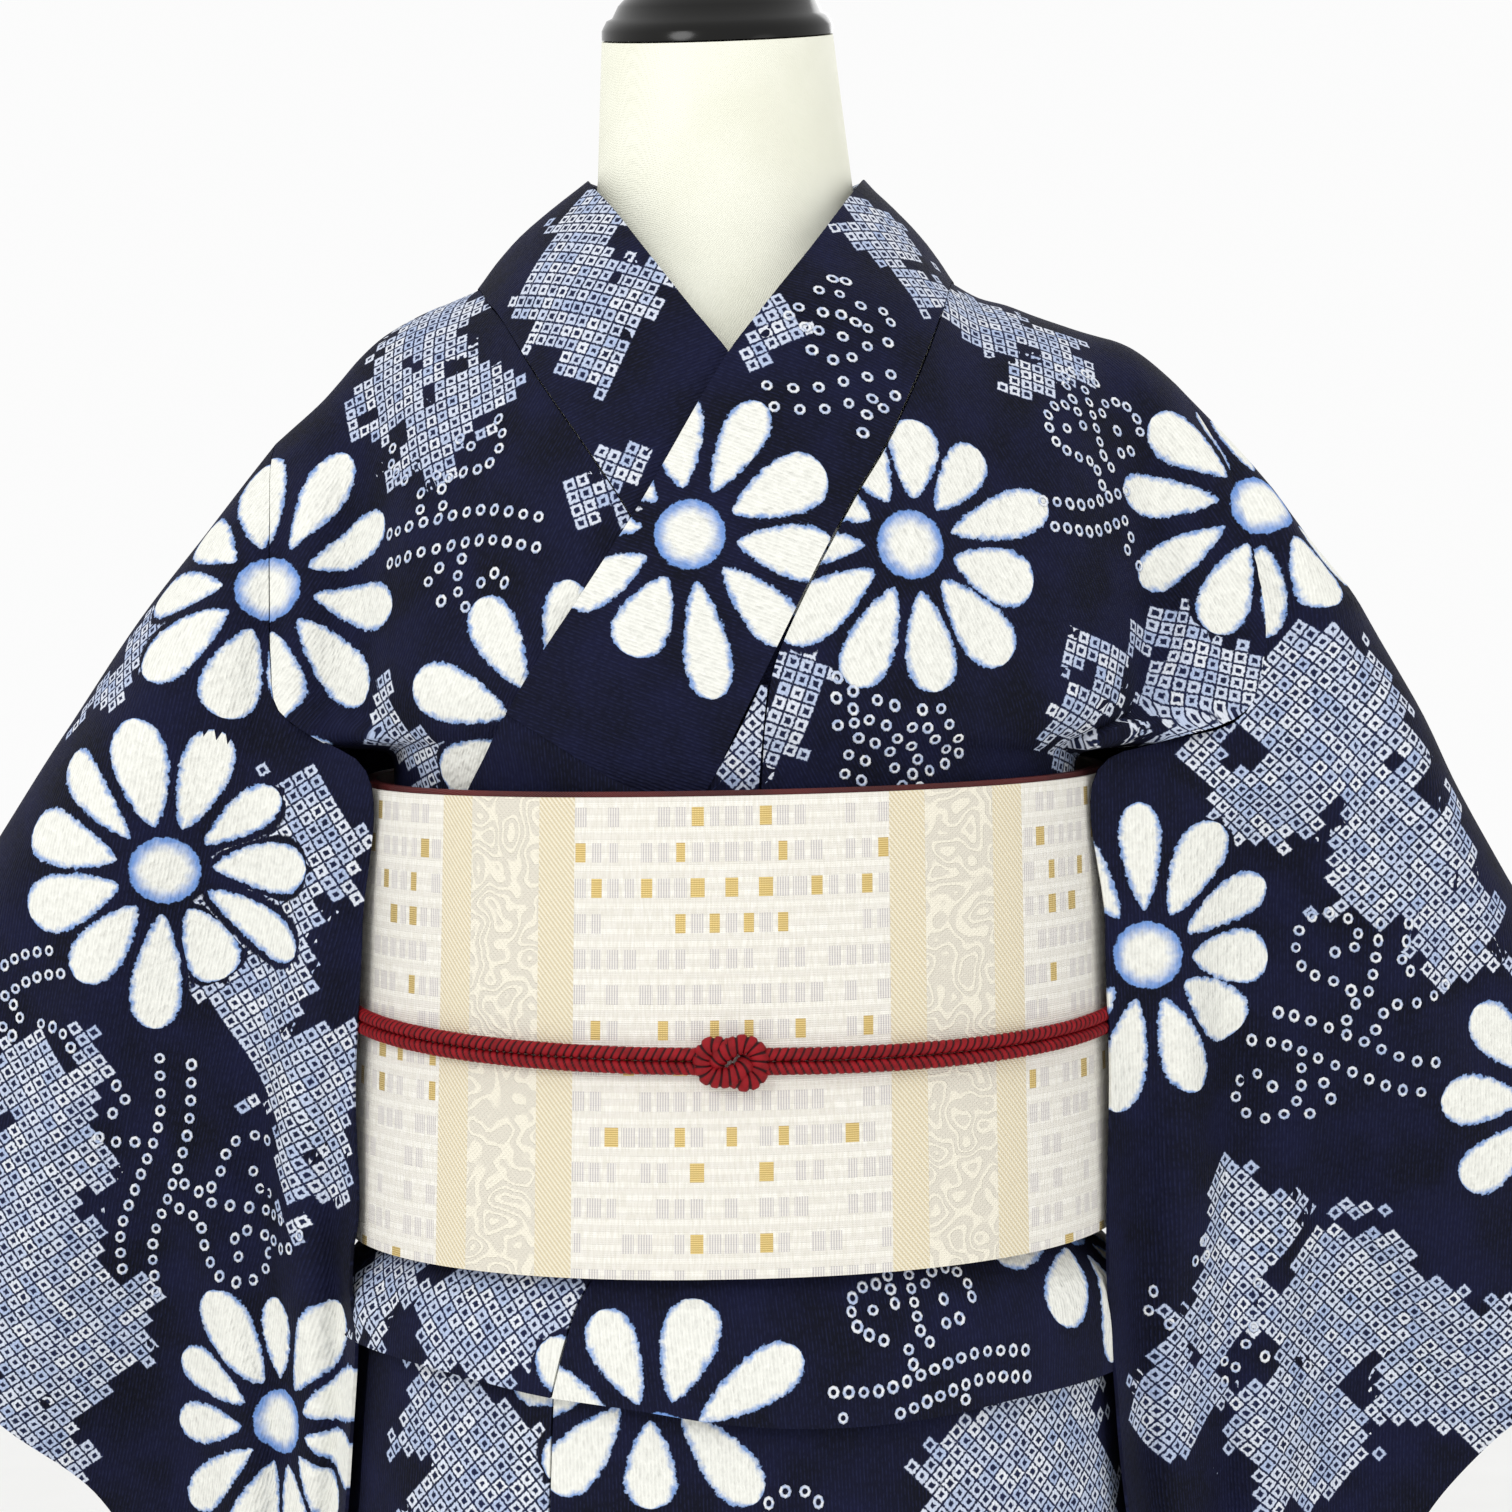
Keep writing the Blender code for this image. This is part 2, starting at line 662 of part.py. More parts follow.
def make_bodice_half(side):
    """Front, shoulder and back of one half, in one piece as it is cut."""
    grid = np.zeros((len(SIDE_SHARES), len(COLUMN_SHARES), 3))
    lifts = np.zeros(grid.shape[:2])
    for i, (inner, end_share) in enumerate(zip(bodice_inner_edge(side), SIDE_SHARES)):
        inner_x, inner_share = inner
        way = min(end_share, 2 - end_share)
        end_x = side_x(side, way)
        for j, across in enumerate(COLUMN_SHARES):
            share = mix(inner_share, end_share, across)
            x = mix(inner_x, end_x, across)
            if way < ARMPIT_SHARE:
                angle = mix(waist_angle(inner_x), waist_angle(end_x), across)
                x = waist_x(angle)
            grid[i, j] = bodice_point(x, share)
            if side > 0:
                lifts[i, j] = over_lift(share) * (1 - ease(across, *LIFT_END))
    grid = moved_out(grid, lifts * facing(grid))
    name = "left_bodice" if side > 0 else "right_bodice"
    add_wall(name, grid, COTTON, "navy_cotton")
    return grid


def make_okumi_tip():
    """The left overlap panel's narrow top, between the collar's seam and its own."""
    grid = np.zeros((len(TIP_LEVELS), 3, 3))
    for i, z in enumerate(TIP_LEVELS):
        left = through(COLLAR_OVER, z)[1] + EDGE_GAP * 1.1
        right = max(through(TIP_SEAM, z) - EDGE_GAP / 2, left + COTTON / 2)
        for j in range(3):
            grid[i, j] = chest_point(mix(left, right, j / 2), z)
    add_wall("left_okumi_tip", moved_out(grid, LAYER_STEP * facing(grid)), COTTON, "navy_cotton")


def facing(grid):
    """1 where the grid's normals point away from the body, -1 where they point in."""
    normals = normals_of(grid, False)
    middle = np.array([0.0, 0.0, 1.15])
    outward = np.einsum("ijk,ijk->", normals, grid - middle)
    return 1.0 if outward > 0 else -1.0


def collar_front_row(kind, key):
    """Points across the collar on the front, inner edge first, and how far each is lifted."""
    table = COLLAR_OVER if kind == "over" else COLLAR_UNDER
    x_in, z_in, x_out, z_out = front_station(table, key)
    points, lifts = [], []
    for j in range(COLLAR_COLUMNS):
        across = j / (COLLAR_COLUMNS - 1)
        x, z = mix(x_in, x_out, across), mix(z_in, z_out, across)
        points.append(chest_point(x, z))
        lifts.append(over_lift(share_of_height(x, z)) if kind == "over" else 0.0)
    return points, lifts


def collar_neck_row(row):
    """Points across the collar round the neck, inner edge first, and how far each is lifted."""
    inner = np.array(row[:3])
    outer = bodice_point(row[3], row[4])
    middle = np.array([COLLAR_NECK[CENTRE_ROW][3], 0.0, inner[2]])
    out = (mix(inner, outer, 0.5) - middle) * np.array([1.0, 1.0, 0.0])
    out /= np.linalg.norm(out)
    roll = mix(COLLAR_ROLL[1], COLLAR_ROLL[0], ease(row[4], 0.75, 0.95))
    points, lifts = [], []
    for j in range(COLLAR_COLUMNS):
        across = j / (COLLAR_COLUMNS - 1)
        points.append(mix(inner, outer, across) + out * roll * math.sin(math.pi * across))
        lifts.append(over_lift(row[4]) * across if row[3] > 0 else 0.0)
    return points, lifts


def make_collar():
    """The collar's cover strip, one length round the neck, and the two ends below it."""
    rows = [collar_front_row("over", key) for key in cover_keys()]
    rows += [collar_neck_row(row) for row in COLLAR_NECK[1:-1]]
    rows += [collar_front_row("under", key) for key in cover_keys()[::-1]]
    grid = np.array([row[0] for row in rows])
    lifts = np.array([row[1] for row in rows])
    add_wall("collar_cover", moved_out(grid, lifts * facing(grid)), COLLAR_CLOTH, "navy_cotton")
    for kind, name in (("over", "collar_left_end"), ("under", "collar_right_end")):
        last = COVER_END_Z - 2 * EDGE_GAP
        rows = [collar_front_row(kind, key) for key in (*END_KEYS, mix(END_KEYS[-1], last, 0.5), last)]
        grid = np.array([row[0] for row in rows])
        lifts = np.array([row[1] for row in rows])
        add_wall(name, moved_out(grid, lifts * facing(grid)), COLLAR_CLOTH, "navy_cotton")


def sleeve_edge_in(side, seam, back):
    """Inner edge of a sleeve, front or back: the armhole seam, then the free edge to the bottom."""
    points = list(seam)
    for i in range(SLEEVE_FREE_ROWS):
        left_x, right_x, z = through(SLEEVE_INNER, i / (SLEEVE_FREE_ROWS - 1))
        x = right_x if side > 0 else left_x
        if back:
            points.append(np.array([side * (x + SLEEVE_BACK_OUT * ease(i, -1, 1)), SLEEVE_DEPTH_BODY, z]))
        else:
            points.append(np.array([side * x, -SLEEVE_DEPTH_BODY, z]))
    return np.array(points)


def sleeve_grid(side, seam_front, seam_back):
    """Rings of a sleeve from the armhole to the cuff; each runs down the front and up the back."""
    front_in = sleeve_edge_in(side, seam_front, False)
    back_in = sleeve_edge_in(side, seam_back, True)
    top_line = SLEEVE_TOP_RIGHT if side > 0 else SLEEVE_TOP_LEFT
    lengths = np.linalg.norm(np.diff(front_in, axis=0), axis=1)
    down = np.concatenate([[0.0], np.cumsum(lengths)]) / lengths.sum()
    grid = []
    for i in range(SLEEVE_RINGS):
        s = i / (SLEEVE_RINGS - 1)
        top_x, top_z = along(top_line, s) - mix(np.array(top_line[0]), np.array(top_line[-1]), s)
        near = mix(SLEEVE_DEPTH_BODY, SLEEVE_DEPTH_CUFF, s**1.3)
        blend = ease(s, 0.0, 0.12)
        front, back = [], []
        for j, t in enumerate(down):
            left_x, right_x, z_cuff = through(SLEEVE_CUFF, t)
            cuff = np.array([side * (right_x if side > 0 else left_x), 0.0, z_cuff])
            low = mix(near, SLEEVE_DEPTH_LOW, ease(t, 0.3, 1.0) * (1 - s))
            pinched = ease(t, CUFF_OPEN_SHARE - 0.1, CUFF_OPEN_SHARE + 0.05) * s**1.3
            arch = math.sin(math.pi / 2 * min(1.0, t / 0.16)) ** 0.7
            depth = mix(low, CUFF_PINCH / 2, pinched) * arch * (1 - ease(t, 0.93, 1.0))
            depth = max(depth, CUFF_PINCH / 2)
            fold = sleeve_fold(s, t) * blend * ease(t, 0.02, 0.2)
            for ring, start, sign in ((front, front_in[j], -1), (back, back_in[j], 1)):
                point = mix(start, cuff, s)
                point[0] += side * top_x * (1 - t) ** 2
                point[2] += top_z * (1 - t) ** 2
                point[1] = sign * mix(abs(start[1]), depth, blend) + fold
                ring.append(point)
        top = mix(front[0], back[0], 0.5)
        bottom = mix(front[-1], back[-1], 0.5) - np.array([0.0, 0.0, SLEEVE_DROP])
        grid.append([top] + front[1:] + [bottom] + back[:0:-1])
    return np.array(grid)


def sleeve_fold(s, t):
    """How far the large folds move both walls of a sleeve to the back."""
    total = 0.0
    for top, bottom, width, depth, start in SLEEVE_FOLDS:
        centre = mix(top, bottom, t)
        total += depth * math.exp(-(((s - centre) / width) ** 2)) * ease(t, start, start + 0.3)
    return total * math.sqrt(max(0.0, math.sin(math.pi * min(1.0, s / 0.9))))


def make_sleeve(side, bodice):
    """Sleeve hung from the armhole: a flat bag, open at the cuff and along its inner edge."""
    top = SIDE_SHARES.index(1.0)
    count = top - SIDE_SHARES.index(ARMPIT_SHARE) + 1
    outward = bodice[:, -1] - bodice[:, -2]
    outward /= np.linalg.norm(outward, axis=1, keepdims=True)
    along_seam = np.gradient(bodice[:, -1], axis=0)
    along_seam /= np.linalg.norm(along_seam, axis=1, keepdims=True)
    outward -= along_seam * np.sum(outward * along_seam, axis=1, keepdims=True)
    outward /= np.linalg.norm(outward, axis=1, keepdims=True)
    seam = bodice[:, -1] + outward * ARMHOLE_GAP
    grid = sleeve_grid(side, seam[top - count + 1 : top + 1][::-1], seam[top : top + count])
    name = "left_sleeve" if side > 0 else "right_sleeve"
    add_wall(name, grid, COTTON, "navy_cotton", ring=True)


def obi_ring(z_share, lift, columns=44):
    """A level of the belt, from its lower edge at 0 to its upper at 1."""
    ring = []
    half_width = mix(OBI_HALF_WIDTH_LOW, OBI_HALF_WIDTH_TOP, z_share) + lift
    for j in range(columns):
        x, y = oval_point(2 * math.pi * j / columns, half_width, OBI_HALF_DEPTH + lift, OBI_POWER)
        z = OBI_TOP_Z - OBI_HEIGHT * (1 - z_share) + y * OBI_TILT + x * OBI_ROLL
        ring.append((x + WAIST_X, y, z))
    return ring


def make_obi():
    """The belt's outer turn, and the turn under it, whose lining shows along the top."""
    outer = np.array([obi_ring(i / 4, -OBI_CLOTH / 2) for i in range(5)])
    add_wall("obi_outer_turn", outer, OBI_CLOTH, "white_silk", ring=True)
    under_lift = -OBI_CLOTH - SEAM_GAP - OBI_UNDER_CLOTH / 2
    top = 1 + OBI_EDGE_SHOWS / OBI_HEIGHT
    under = np.array([obi_ring(share, under_lift) for share in (0.006, 0.5, top)])
    add_wall("obi_under_turn", under, OBI_UNDER_CLOTH, "red_silk", ring=True)


def make_drum():
    """The belt's square drum behind, its tail below and its hand end through the loop."""
    across = np.linspace(-DRUM_HALF_WIDTH, DRUM_HALF_WIDTH, 5)
    section = [along(DRUM_SECTION, i / DRUM_STEPS) for i in range(DRUM_STEPS + 1)]
    grid = np.array([[(x, y - DRUM_BOW * x * x, z) for y, z in section] for x in across])
    add_wall("obi_drum", grid, OBI_CLOTH, "white_silk")
    tail = [along(TAIL_SECTION, i / TAIL_STEPS) for i in range(TAIL_STEPS + 1)]
    across = np.linspace(TAIL_INSET - DRUM_HALF_WIDTH, DRUM_HALF_WIDTH - TAIL_INSET, 5)
    grid = np.array([[(x, y - DRUM_BOW * x * x, z) for y, z in tail] for x in across])
    add_wall("obi_tail", grid, OBI_CLOTH, "white_silk")
    plan = [(-x, y) for x, y in HAND_PLAN[:0:-1]] + list(HAND_PLAN)
    heights = np.linspace(HAND_Z - HAND_HALF_HEIGHT, HAND_Z + HAND_HALF_HEIGHT, 3)
    route = [along(plan, i / HAND_STEPS) for i in range(HAND_STEPS + 1)]
    grid = np.array([[(x, y, z) for x, y in route] for z in heights])
    add_wall("obi_hand_end", grid, HAND_CLOTH, "white_silk")


def cord_height(y):
    return CORD_Z + CORD_TILT * y * (1.0 if y < 0 else CORD_BACK_TILT)


def cord_route(count):
    """Middle of the cord pair, from the knot's right side round the back to its left."""
    lift = CORD_RADIUS + SEAM_GAP
    half_width = mix(OBI_HALF_WIDTH_LOW, OBI_HALF_WIDTH_TOP, 0.5) + lift
    start = math.asin(((KNOT_HALF_WIDTH + SEAM_GAP) / half_width) ** (OBI_POWER / 2))
    half = []
    for i in range(10):
        turn = mix(start, math.pi / 2, i / 9)
        half.append(oval_point(turn, half_width, OBI_HALF_DEPTH + lift, OBI_POWER))
    half += list(CORD_BEHIND)
    mirrored = [(-x, y) for x, y in half[-2::-1]]
    return [along(half + mirrored, i / (count - 1)) for i in range(count)]


def make_cord():
    """Two round braids side by side round the belt, and the flat knot in front."""
    for name, rank in (("cord_upper", 1), ("cord_lower", -1)):
        path = []
        for x, y in cord_route(CORD_RINGS):
            height = cord_height(y) + rank * (CORD_RADIUS + SEAM_GAP / 2)
            path.append((x + WAIST_X, y, height))
        path = np.array(path)
        ahead = np.gradient(path, axis=0)
        ahead /= np.linalg.norm(ahead, axis=1, keepdims=True)
        rings = []
        for point, way in zip(path, ahead):
            right = np.cross(way, (0.0, 0.0, 1.0))
            right /= np.linalg.norm(right)
            top = np.cross(right, way)
            angles = [2 * math.pi * k / CORD_SIDES for k in range(CORD_SIDES)]
            rings.append([point + CORD_RADIUS * (math.cos(a) * right + math.sin(a) * top) for a in angles])
        add_loft(name, np.array(rings), "red_cord")
    make_knot()


def make_knot():
    """A flat ring with two lobes and a small slit between them."""
    rings = []
    front_y = -(OBI_HALF_DEPTH + SEAM_GAP + KNOT_HALF_DEPTH)
    middle_z = cord_height(front_y)
    columns, sides = 24, 8
    for k in range(sides):
        around = 2 * math.pi * k / sides
        ring = []
        for j in range(columns):
            angle = 2 * math.pi * j / columns
            lobe = 1 - KNOT_WAIST * math.cos(2 * angle + math.pi) ** 2 * abs(math.sin(angle)) ** 4
            outer = np.array([KNOT_HALF_WIDTH * math.cos(angle), KNOT_HALF_HEIGHT * math.sin(angle)]) * lobe
            inner = np.array([KNOT_HOLE[0] * math.cos(angle), KNOT_HOLE[1] * math.sin(angle)])
            flat = mix(inner, outer, 0.5 + 0.5 * math.cos(around))
            y = front_y - KNOT_HALF_DEPTH * math.sin(around)
            ring.append((KNOT_X + WAIST_X + flat[0], y, middle_z + flat[1]))
        rings.append(ring)
    points = np.array(rings)
    faces = []
    for i in range(sides):
        for j in range(columns):
            a, b = i * columns, ((i + 1) % sides) * columns
            k = (j + 1) % columns
            faces.append((a + j, a + k, b + k, b + j))
    add_solid("cord_knot", points.reshape(-1, 3), faces, "red_cord")


def skirt_point(turn, z, lift):
    half_width, half_depth = through(SKIRT, z)
    x, y = oval_point(turn, half_width + lift, half_depth + lift, WAIST_POWER)
    return np.array([x + WAIST_X, y, z])


def turns_between(start, end):
    """Turns from start to end, with the ones in between on the same steps for every layer."""
    first = math.ceil(start / TURN_STEP + 0.25)
    last = math.floor(end / TURN_STEP - 0.25)
    return [start] + [k * TURN_STEP for k in range(first, last + 1)] + [end]


def skirt_piece(name, start, end, lift_start, lift_end):
    """One cut piece of the wrap, between two turns, its layer changing from start to end."""
    turns = turns_between(start, end)
    grid = np.zeros((len(SKIRT_LEVELS), len(turns), 3))
    for i, z in enumerate(SKIRT_LEVELS):
        for j, turn in enumerate(turns):
            share = (turn - start) / (end - start)
            grid[i, j] = skirt_point(turn, z, mix(lift_start, lift_end, share))
    add_wall(name, grid, COTTON, "navy_cotton")


def make_skirt():
    """The wrap from its hidden end at the right side, round the back, to its free edge on top."""
    quarter = math.pi / 2
    layer = SKIRT_LAYER
    hidden_seam, hidden_end = UNDER_OKUMI_TURNS
    skirt_piece("skirt_right_okumi", hidden_seam + SEAM_TURN, hidden_end, 0.0, 0.0)
    skirt_piece("skirt_right_front", -quarter + SEAM_TURN, hidden_seam - SEAM_TURN, 0.0, 0.0)
    skirt_piece("skirt_right_back", -2 * quarter + SEAM_TURN, -quarter - SEAM_TURN, 0.0, 0.0)
    skirt_piece("skirt_left_back", quarter + SEAM_TURN, 2 * quarter - SEAM_TURN, layer, 0.0)
    skirt_piece("skirt_left_front", OKUMI_TURN + SEAM_TURN, quarter - SEAM_TURN, layer, layer)
    skirt_piece("skirt_left_okumi", OVERLAP_TURN, OKUMI_TURN - SEAM_TURN, layer, layer)


def tuck_hem(turn):
    """Height of the tuck's lower fold at a turn; the back is level."""
    share = (turn + math.pi / 2) / math.pi
    if 0 <= share <= 1:
        return through(TUCK_HEM, share)
    edge = TUCK_HEM[0][1] if math.sin(turn) < 0 else TUCK_HEM[-1][1]
    return mix(edge, TUCK_BACK_Z, ease(abs(math.cos(turn)), 0.0, 0.5))


def tuck_point(turn, z):
    """A point of the tuck at a height above its lower fold."""
    low = tuck_hem(turn)
    share = (z - low) / (TUCK_TOP_Z - low)
    x, y = oval_point(turn, OBI_HALF_WIDTH_LOW, OBI_HALF_DEPTH, OBI_POWER)
    belt_low = OBI_TOP_Z - OBI_HEIGHT + y * OBI_TILT + x * OBI_ROLL
    puff = TUCK_PUFF * (1 - ease(z, belt_low - 0.028, belt_low - 0.003))
    puff -= TUCK_ROUND * (1 - ease(share, 0.0, 0.25))
    return skirt_point(turn, z, TUCK_LIFT + puff)


def tuck_piece(name, starts, ends):
    """One piece of the doubled tuck; its seams may lean from the lower fold to the top."""
    inside = turns_between(max(starts), min(ends))[1:-1]
    rows = len(TUCK_LEVELS) + 2
    grid = np.zeros((rows, len(inside) + 2, 3))
    for i in range(rows):
        share = i / (rows - 1)
        turns = [mix(*starts, share)] + inside + [mix(*ends, share)]
        for j, turn in enumerate(turns):
            low = tuck_hem(turn)
            levels = (low, mix(low, TUCK_LEVELS[0], 0.5), *TUCK_LEVELS)
            grid[i, j] = tuck_point(turn, levels[i])
    add_wall(name, grid, TUCK_CLOTH, "navy_cotton")


def make_tuck():
    """The doubled tuck below the belt: the left front and its overlap panel, the right, the back."""
    quarter = math.pi / 2
    around = 2 * math.pi
    low, top = TUCK_OKUMI_TURN
    gap = SEAM_TURN
    right_end = -quarter - 0.06
    tuck_piece("tuck_left_front", (low + gap, top + gap), (quarter - gap, quarter - gap))
    tuck_piece("tuck_left_okumi", (TUCK_SIDE_TURN + gap, TUCK_SIDE_TURN + gap), (low - gap, top - gap))
    tuck_piece("tuck_right_front", (right_end + gap, right_end + gap), (TUCK_SIDE_TURN - gap,) * 2)
    tuck_piece("tuck_back", (quarter + gap, quarter + gap), (around + right_end - gap,) * 2)


def neck_cut(x, y):
    """Rise of the neck's tilted rim at a place."""
    return math.tan(NECK_TILT) * y + math.tan(NECK_ROLL) * x


def make_form():
    """The limbless dress form, from the hips to the neck, with a flat tilted top."""
    levels = []
    for low, high in zip(FORM[:-1], FORM[1:]):
        levels.append(low[0])
        if high[0] - low[0] > 0.05:
            levels.append((low[0] + high[0]) / 2)
    levels.append(FORM[-1][0])
    rings = []
    for z in levels:
        half_width, front, back, centre = through(FORM, z)
        power = mix(WAIST_POWER, 2.0, ease(z, 1.26, 1.33))
        cut = ease(z, NECK_CUT_Z, NECK_TOP_Z)
        ring = []
        for j in range(ROUND_COLUMNS):
            angle = 2 * math.pi * j / ROUND_COLUMNS
            x, y = oval_point(angle, half_width, front if math.cos(angle) > 0 else back, power)
            ring.append((x + centre, y, z + neck_cut(x, y) * cut))
        rings.append(ring)
    add_loft("dress_form", np.array(rings), "cream_form")


def make_cap():
    """The glossy domed cap on the neck, with a shallow rim."""
    rings = []
    for share, height in CAP_PROFILE:
        ring = []
        for j in range(ROUND_COLUMNS):
            angle = 2 * math.pi * j / ROUND_COLUMNS
            x = CAP_RADIUS * share * math.sin(angle)
            y = -CAP_RADIUS * CAP_DEPTH_SHARE * share * math.cos(angle)
            ring.append((x + NECK_CENTRE_X, y, NECK_TOP_Z + neck_cut(x, y) + height))
        rings.append(ring)
    add_loft("neck_cap", np.array(rings), "black_gloss")


def round_piece(name, profile, columns, finish):
    rings = []
    for radius, z in profile:
        turns = [2 * math.pi * j / columns for j in range(columns)]
        rings.append([(radius * math.sin(a), -radius * math.cos(a), z) for a in turns])
    add_loft(name, np.array(rings), finish)


def make_stand():
    """The flat round base and the pole up into the form."""
    base = (
        (BASE_RADIUS - 0.003, 0.0),
        (BASE_RADIUS, 0.003),
        (BASE_RADIUS, 0.008),
        (BASE_RADIUS - 0.010, BASE_THICKNESS),
    )
    round_piece("stand_base", base, 40, "black_metal")
    pole = (
        (POLE_FOOT_RADIUS, BASE_THICKNESS + PART_GAP),
        (POLE_FOOT_RADIUS, POLE_FOOT_Z),
        (POLE_RADIUS, POLE_FOOT_Z + 0.010),
        (POLE_RADIUS, FORM_LOW_Z - PART_GAP),
    )
    round_piece("stand_pole", pole, 16, "black_metal")


def main():
    clear_scene()
    make_stand()
    make_form()
    make_cap()
    for side in (1, -1):
        bodice = make_bodice_half(side)
        make_sleeve(side, bodice)
    make_okumi_tip()
    make_collar()
    make_skirt()
    make_tuck()
    make_obi()
    make_drum()
    make_cord()


main()
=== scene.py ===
"""Cotton yukata with its figured belt, on a limbless dress form.

Metres, +Z up, the front faces -Y. -X is the wearer's right. Cloth is laid on the same
surfaces as the part's solids, resampled finely, creased, and printed by its flat places.
"""

import math

import bmesh
import bpy
import numpy as np
from mathutils import Matrix, Vector


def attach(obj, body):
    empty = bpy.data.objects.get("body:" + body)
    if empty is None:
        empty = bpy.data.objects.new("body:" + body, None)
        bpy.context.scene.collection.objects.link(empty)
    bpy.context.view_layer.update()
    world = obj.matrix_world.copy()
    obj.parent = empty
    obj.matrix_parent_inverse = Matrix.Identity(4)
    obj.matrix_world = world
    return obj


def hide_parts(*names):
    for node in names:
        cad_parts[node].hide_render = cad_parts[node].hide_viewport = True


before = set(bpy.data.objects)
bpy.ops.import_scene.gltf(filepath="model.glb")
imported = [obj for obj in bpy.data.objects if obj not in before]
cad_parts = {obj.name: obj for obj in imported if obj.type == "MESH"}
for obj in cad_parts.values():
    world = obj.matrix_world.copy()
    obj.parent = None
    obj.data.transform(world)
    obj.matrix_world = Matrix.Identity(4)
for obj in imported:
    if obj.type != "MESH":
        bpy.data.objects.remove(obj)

# Cloth
COTTON = 0.0012
COLLAR_CLOTH = 0.0024
TUCK_CLOTH = 0.0020
OBI_CLOTH = 0.0024
OBI_UNDER_CLOTH = 0.0042
HAND_CLOTH = 0.0040
SEAM_GAP = 0.0004
EDGE_GAP = 0.0004
ARMHOLE_GAP = 0.0003
LAYER_STEP = 0.0038

# Heights above the floor
HEM_Z = 0.035
SKIRT_TOP_Z = 1.014
BODICE_LOW_Z = 1.018
CHEST_Z = 1.170
NECK_TOP_Z = 1.416
FORM_LOW_Z = 0.700

# Waist, where the belt holds the cloth on the form
WAIST_X = -0.002
WAIST_HALF_WIDTH = 0.1245
WAIST_HALF_DEPTH = 0.0985
WAIST_POWER = 2.2
WAIST_SIDE_ANGLE = math.radians(88)
BODICE_FLAT_SHARE = 0.30
# Rise over which the bodice leaves the waist: above the belt's edge, and beyond its sides
BELT_RELEASE = (0.002, 0.030)
SIDE_RELEASE_X = (0.112, 0.124)
SIDE_RELEASE_Z = (1.1500, 1.1545)
# Share of a bodice half's width over which the over side's lift ends
LIFT_END = (0.75, 0.97)
# Shares of the way up the front between which the over side comes down on the under side
OVER_LIFT_ENDS = (0.55, 0.95)

# Shoulder line seen from the front: x, height of the fold over the shoulder
SHOULDER_LINE = (
    (-0.17, 1.2655), (-0.1525, 1.282), (-0.1366, 1.2996), (-0.1133, 1.3141), (-0.0955, 1.3215),
    (-0.0777, 1.3337), (-0.0553, 1.3615), (-0.03, 1.38), (-0.006, 1.386), (0.02, 1.38), (0.0438, 1.3615),
    (0.0649, 1.3407), (0.0775, 1.3245), (0.099, 1.3156), (0.1275, 1.306), (0.1434, 1.3005), (0.1579, 1.289),
    (0.1738, 1.273), (0.19, 1.2515),
)
# Depth of the bodice at chest height: distance from the centre, front depth, back depth
BODICE_DEPTH = (
    (0.0, 0.106, 0.101), (0.03, 0.1045, 0.1005), (0.06, 0.0985, 0.096), (0.09, 0.0865, 0.085),
    (0.115, 0.072, 0.07), (0.132, 0.056, 0.056), (0.145, 0.052, 0.052), (0.165, 0.051, 0.051),
    (0.19, 0.048, 0.048),
)
# Armhole seam of a bodice half: share of the way up the front, x on the left, x on the right.
# It starts under the arm, just above the belt, runs out and then up to the shoulder line.
BODICE_SIDE = (
    (0.27, 0.146, 0.148), (0.292, 0.162, 0.179), (0.36, 0.165, 0.185), (0.45, 0.1662, 0.1862),
    (0.54, 0.1672, 0.184), (0.63, 0.168, 0.1795), (0.72, 0.1687, 0.174), (0.8, 0.1692, 0.169),
    (0.87, 0.1696, 0.1643), (0.94, 0.17, 0.1598), (1.0, 0.17, 0.1556),
)
# Shares of the rows of a bodice half at its outer edge, front hem to shoulder to back hem
SIDE_SHARES = (
    0.0, 0.12, 0.2, 0.235, 0.2605, 0.27, 0.292, 0.36, 0.45, 0.54, 0.63, 0.72, 0.8, 0.87, 0.94, 1.0, 1.07,
    1.15, 1.23, 1.32, 1.41, 1.5, 1.58, 1.65, 1.708, 1.73, 1.7395, 1.765, 1.88, 2.0,
)
# Shares of the rows down the centre back seam
CENTRE_SHARES = (1.46, 1.54, 1.62, 1.69, 1.72, 1.7395, 1.765, 1.88, 2.0)
# Columns of a bodice half, closer together by the arm fold
COLUMN_SHARES = (0.0, 0.12, 0.25, 0.38, 0.50, 0.61, 0.70, 0.77, 0.83, 0.885, 0.94, 1.0)
ARMPIT_SHARE = 0.27
# Fold between chest and sleeve: height, x on the left, x on the right, depth of the valley
ARM_FOLD = (
    (1.145, 0.1405, 0.145, 0.002), (1.19, 0.137, 0.146, 0.008), (1.24, 0.134, 0.1465, 0.008),
    (1.285, 0.1355, 0.143, 0.0),
)
ARM_FOLD_WIDTH = 0.011

# Collar on the front: height, inner edge x, outer seam x.
# The over side is the left front's and lies on top; the under side is the right front's.
COLLAR_OVER = (
    (1.06, -0.118, -0.042), (1.1, -0.105, -0.029), (1.138, -0.0905, -0.0112), (1.1637, -0.0778, 0.002),
    (1.195, -0.0572, 0.0172), (1.2334, -0.0325, 0.0365), (1.26, -0.0175, 0.0515), (1.2861, -0.0028, 0.0622),
    (1.305, 0.0108, 0.0695),
)
COLLAR_UNDER = (
    (1.06, 0.078, 0.013), (1.1, 0.07, 0.006), (1.138, 0.062, -0.002), (1.1637, 0.056, -0.008),
    (1.195, 0.048, -0.018), (1.2334, 0.029, -0.0375), (1.26, 0.013, -0.055), (1.2861, -0.0028, -0.0725),
    (1.305, -0.0176, -0.084),
)
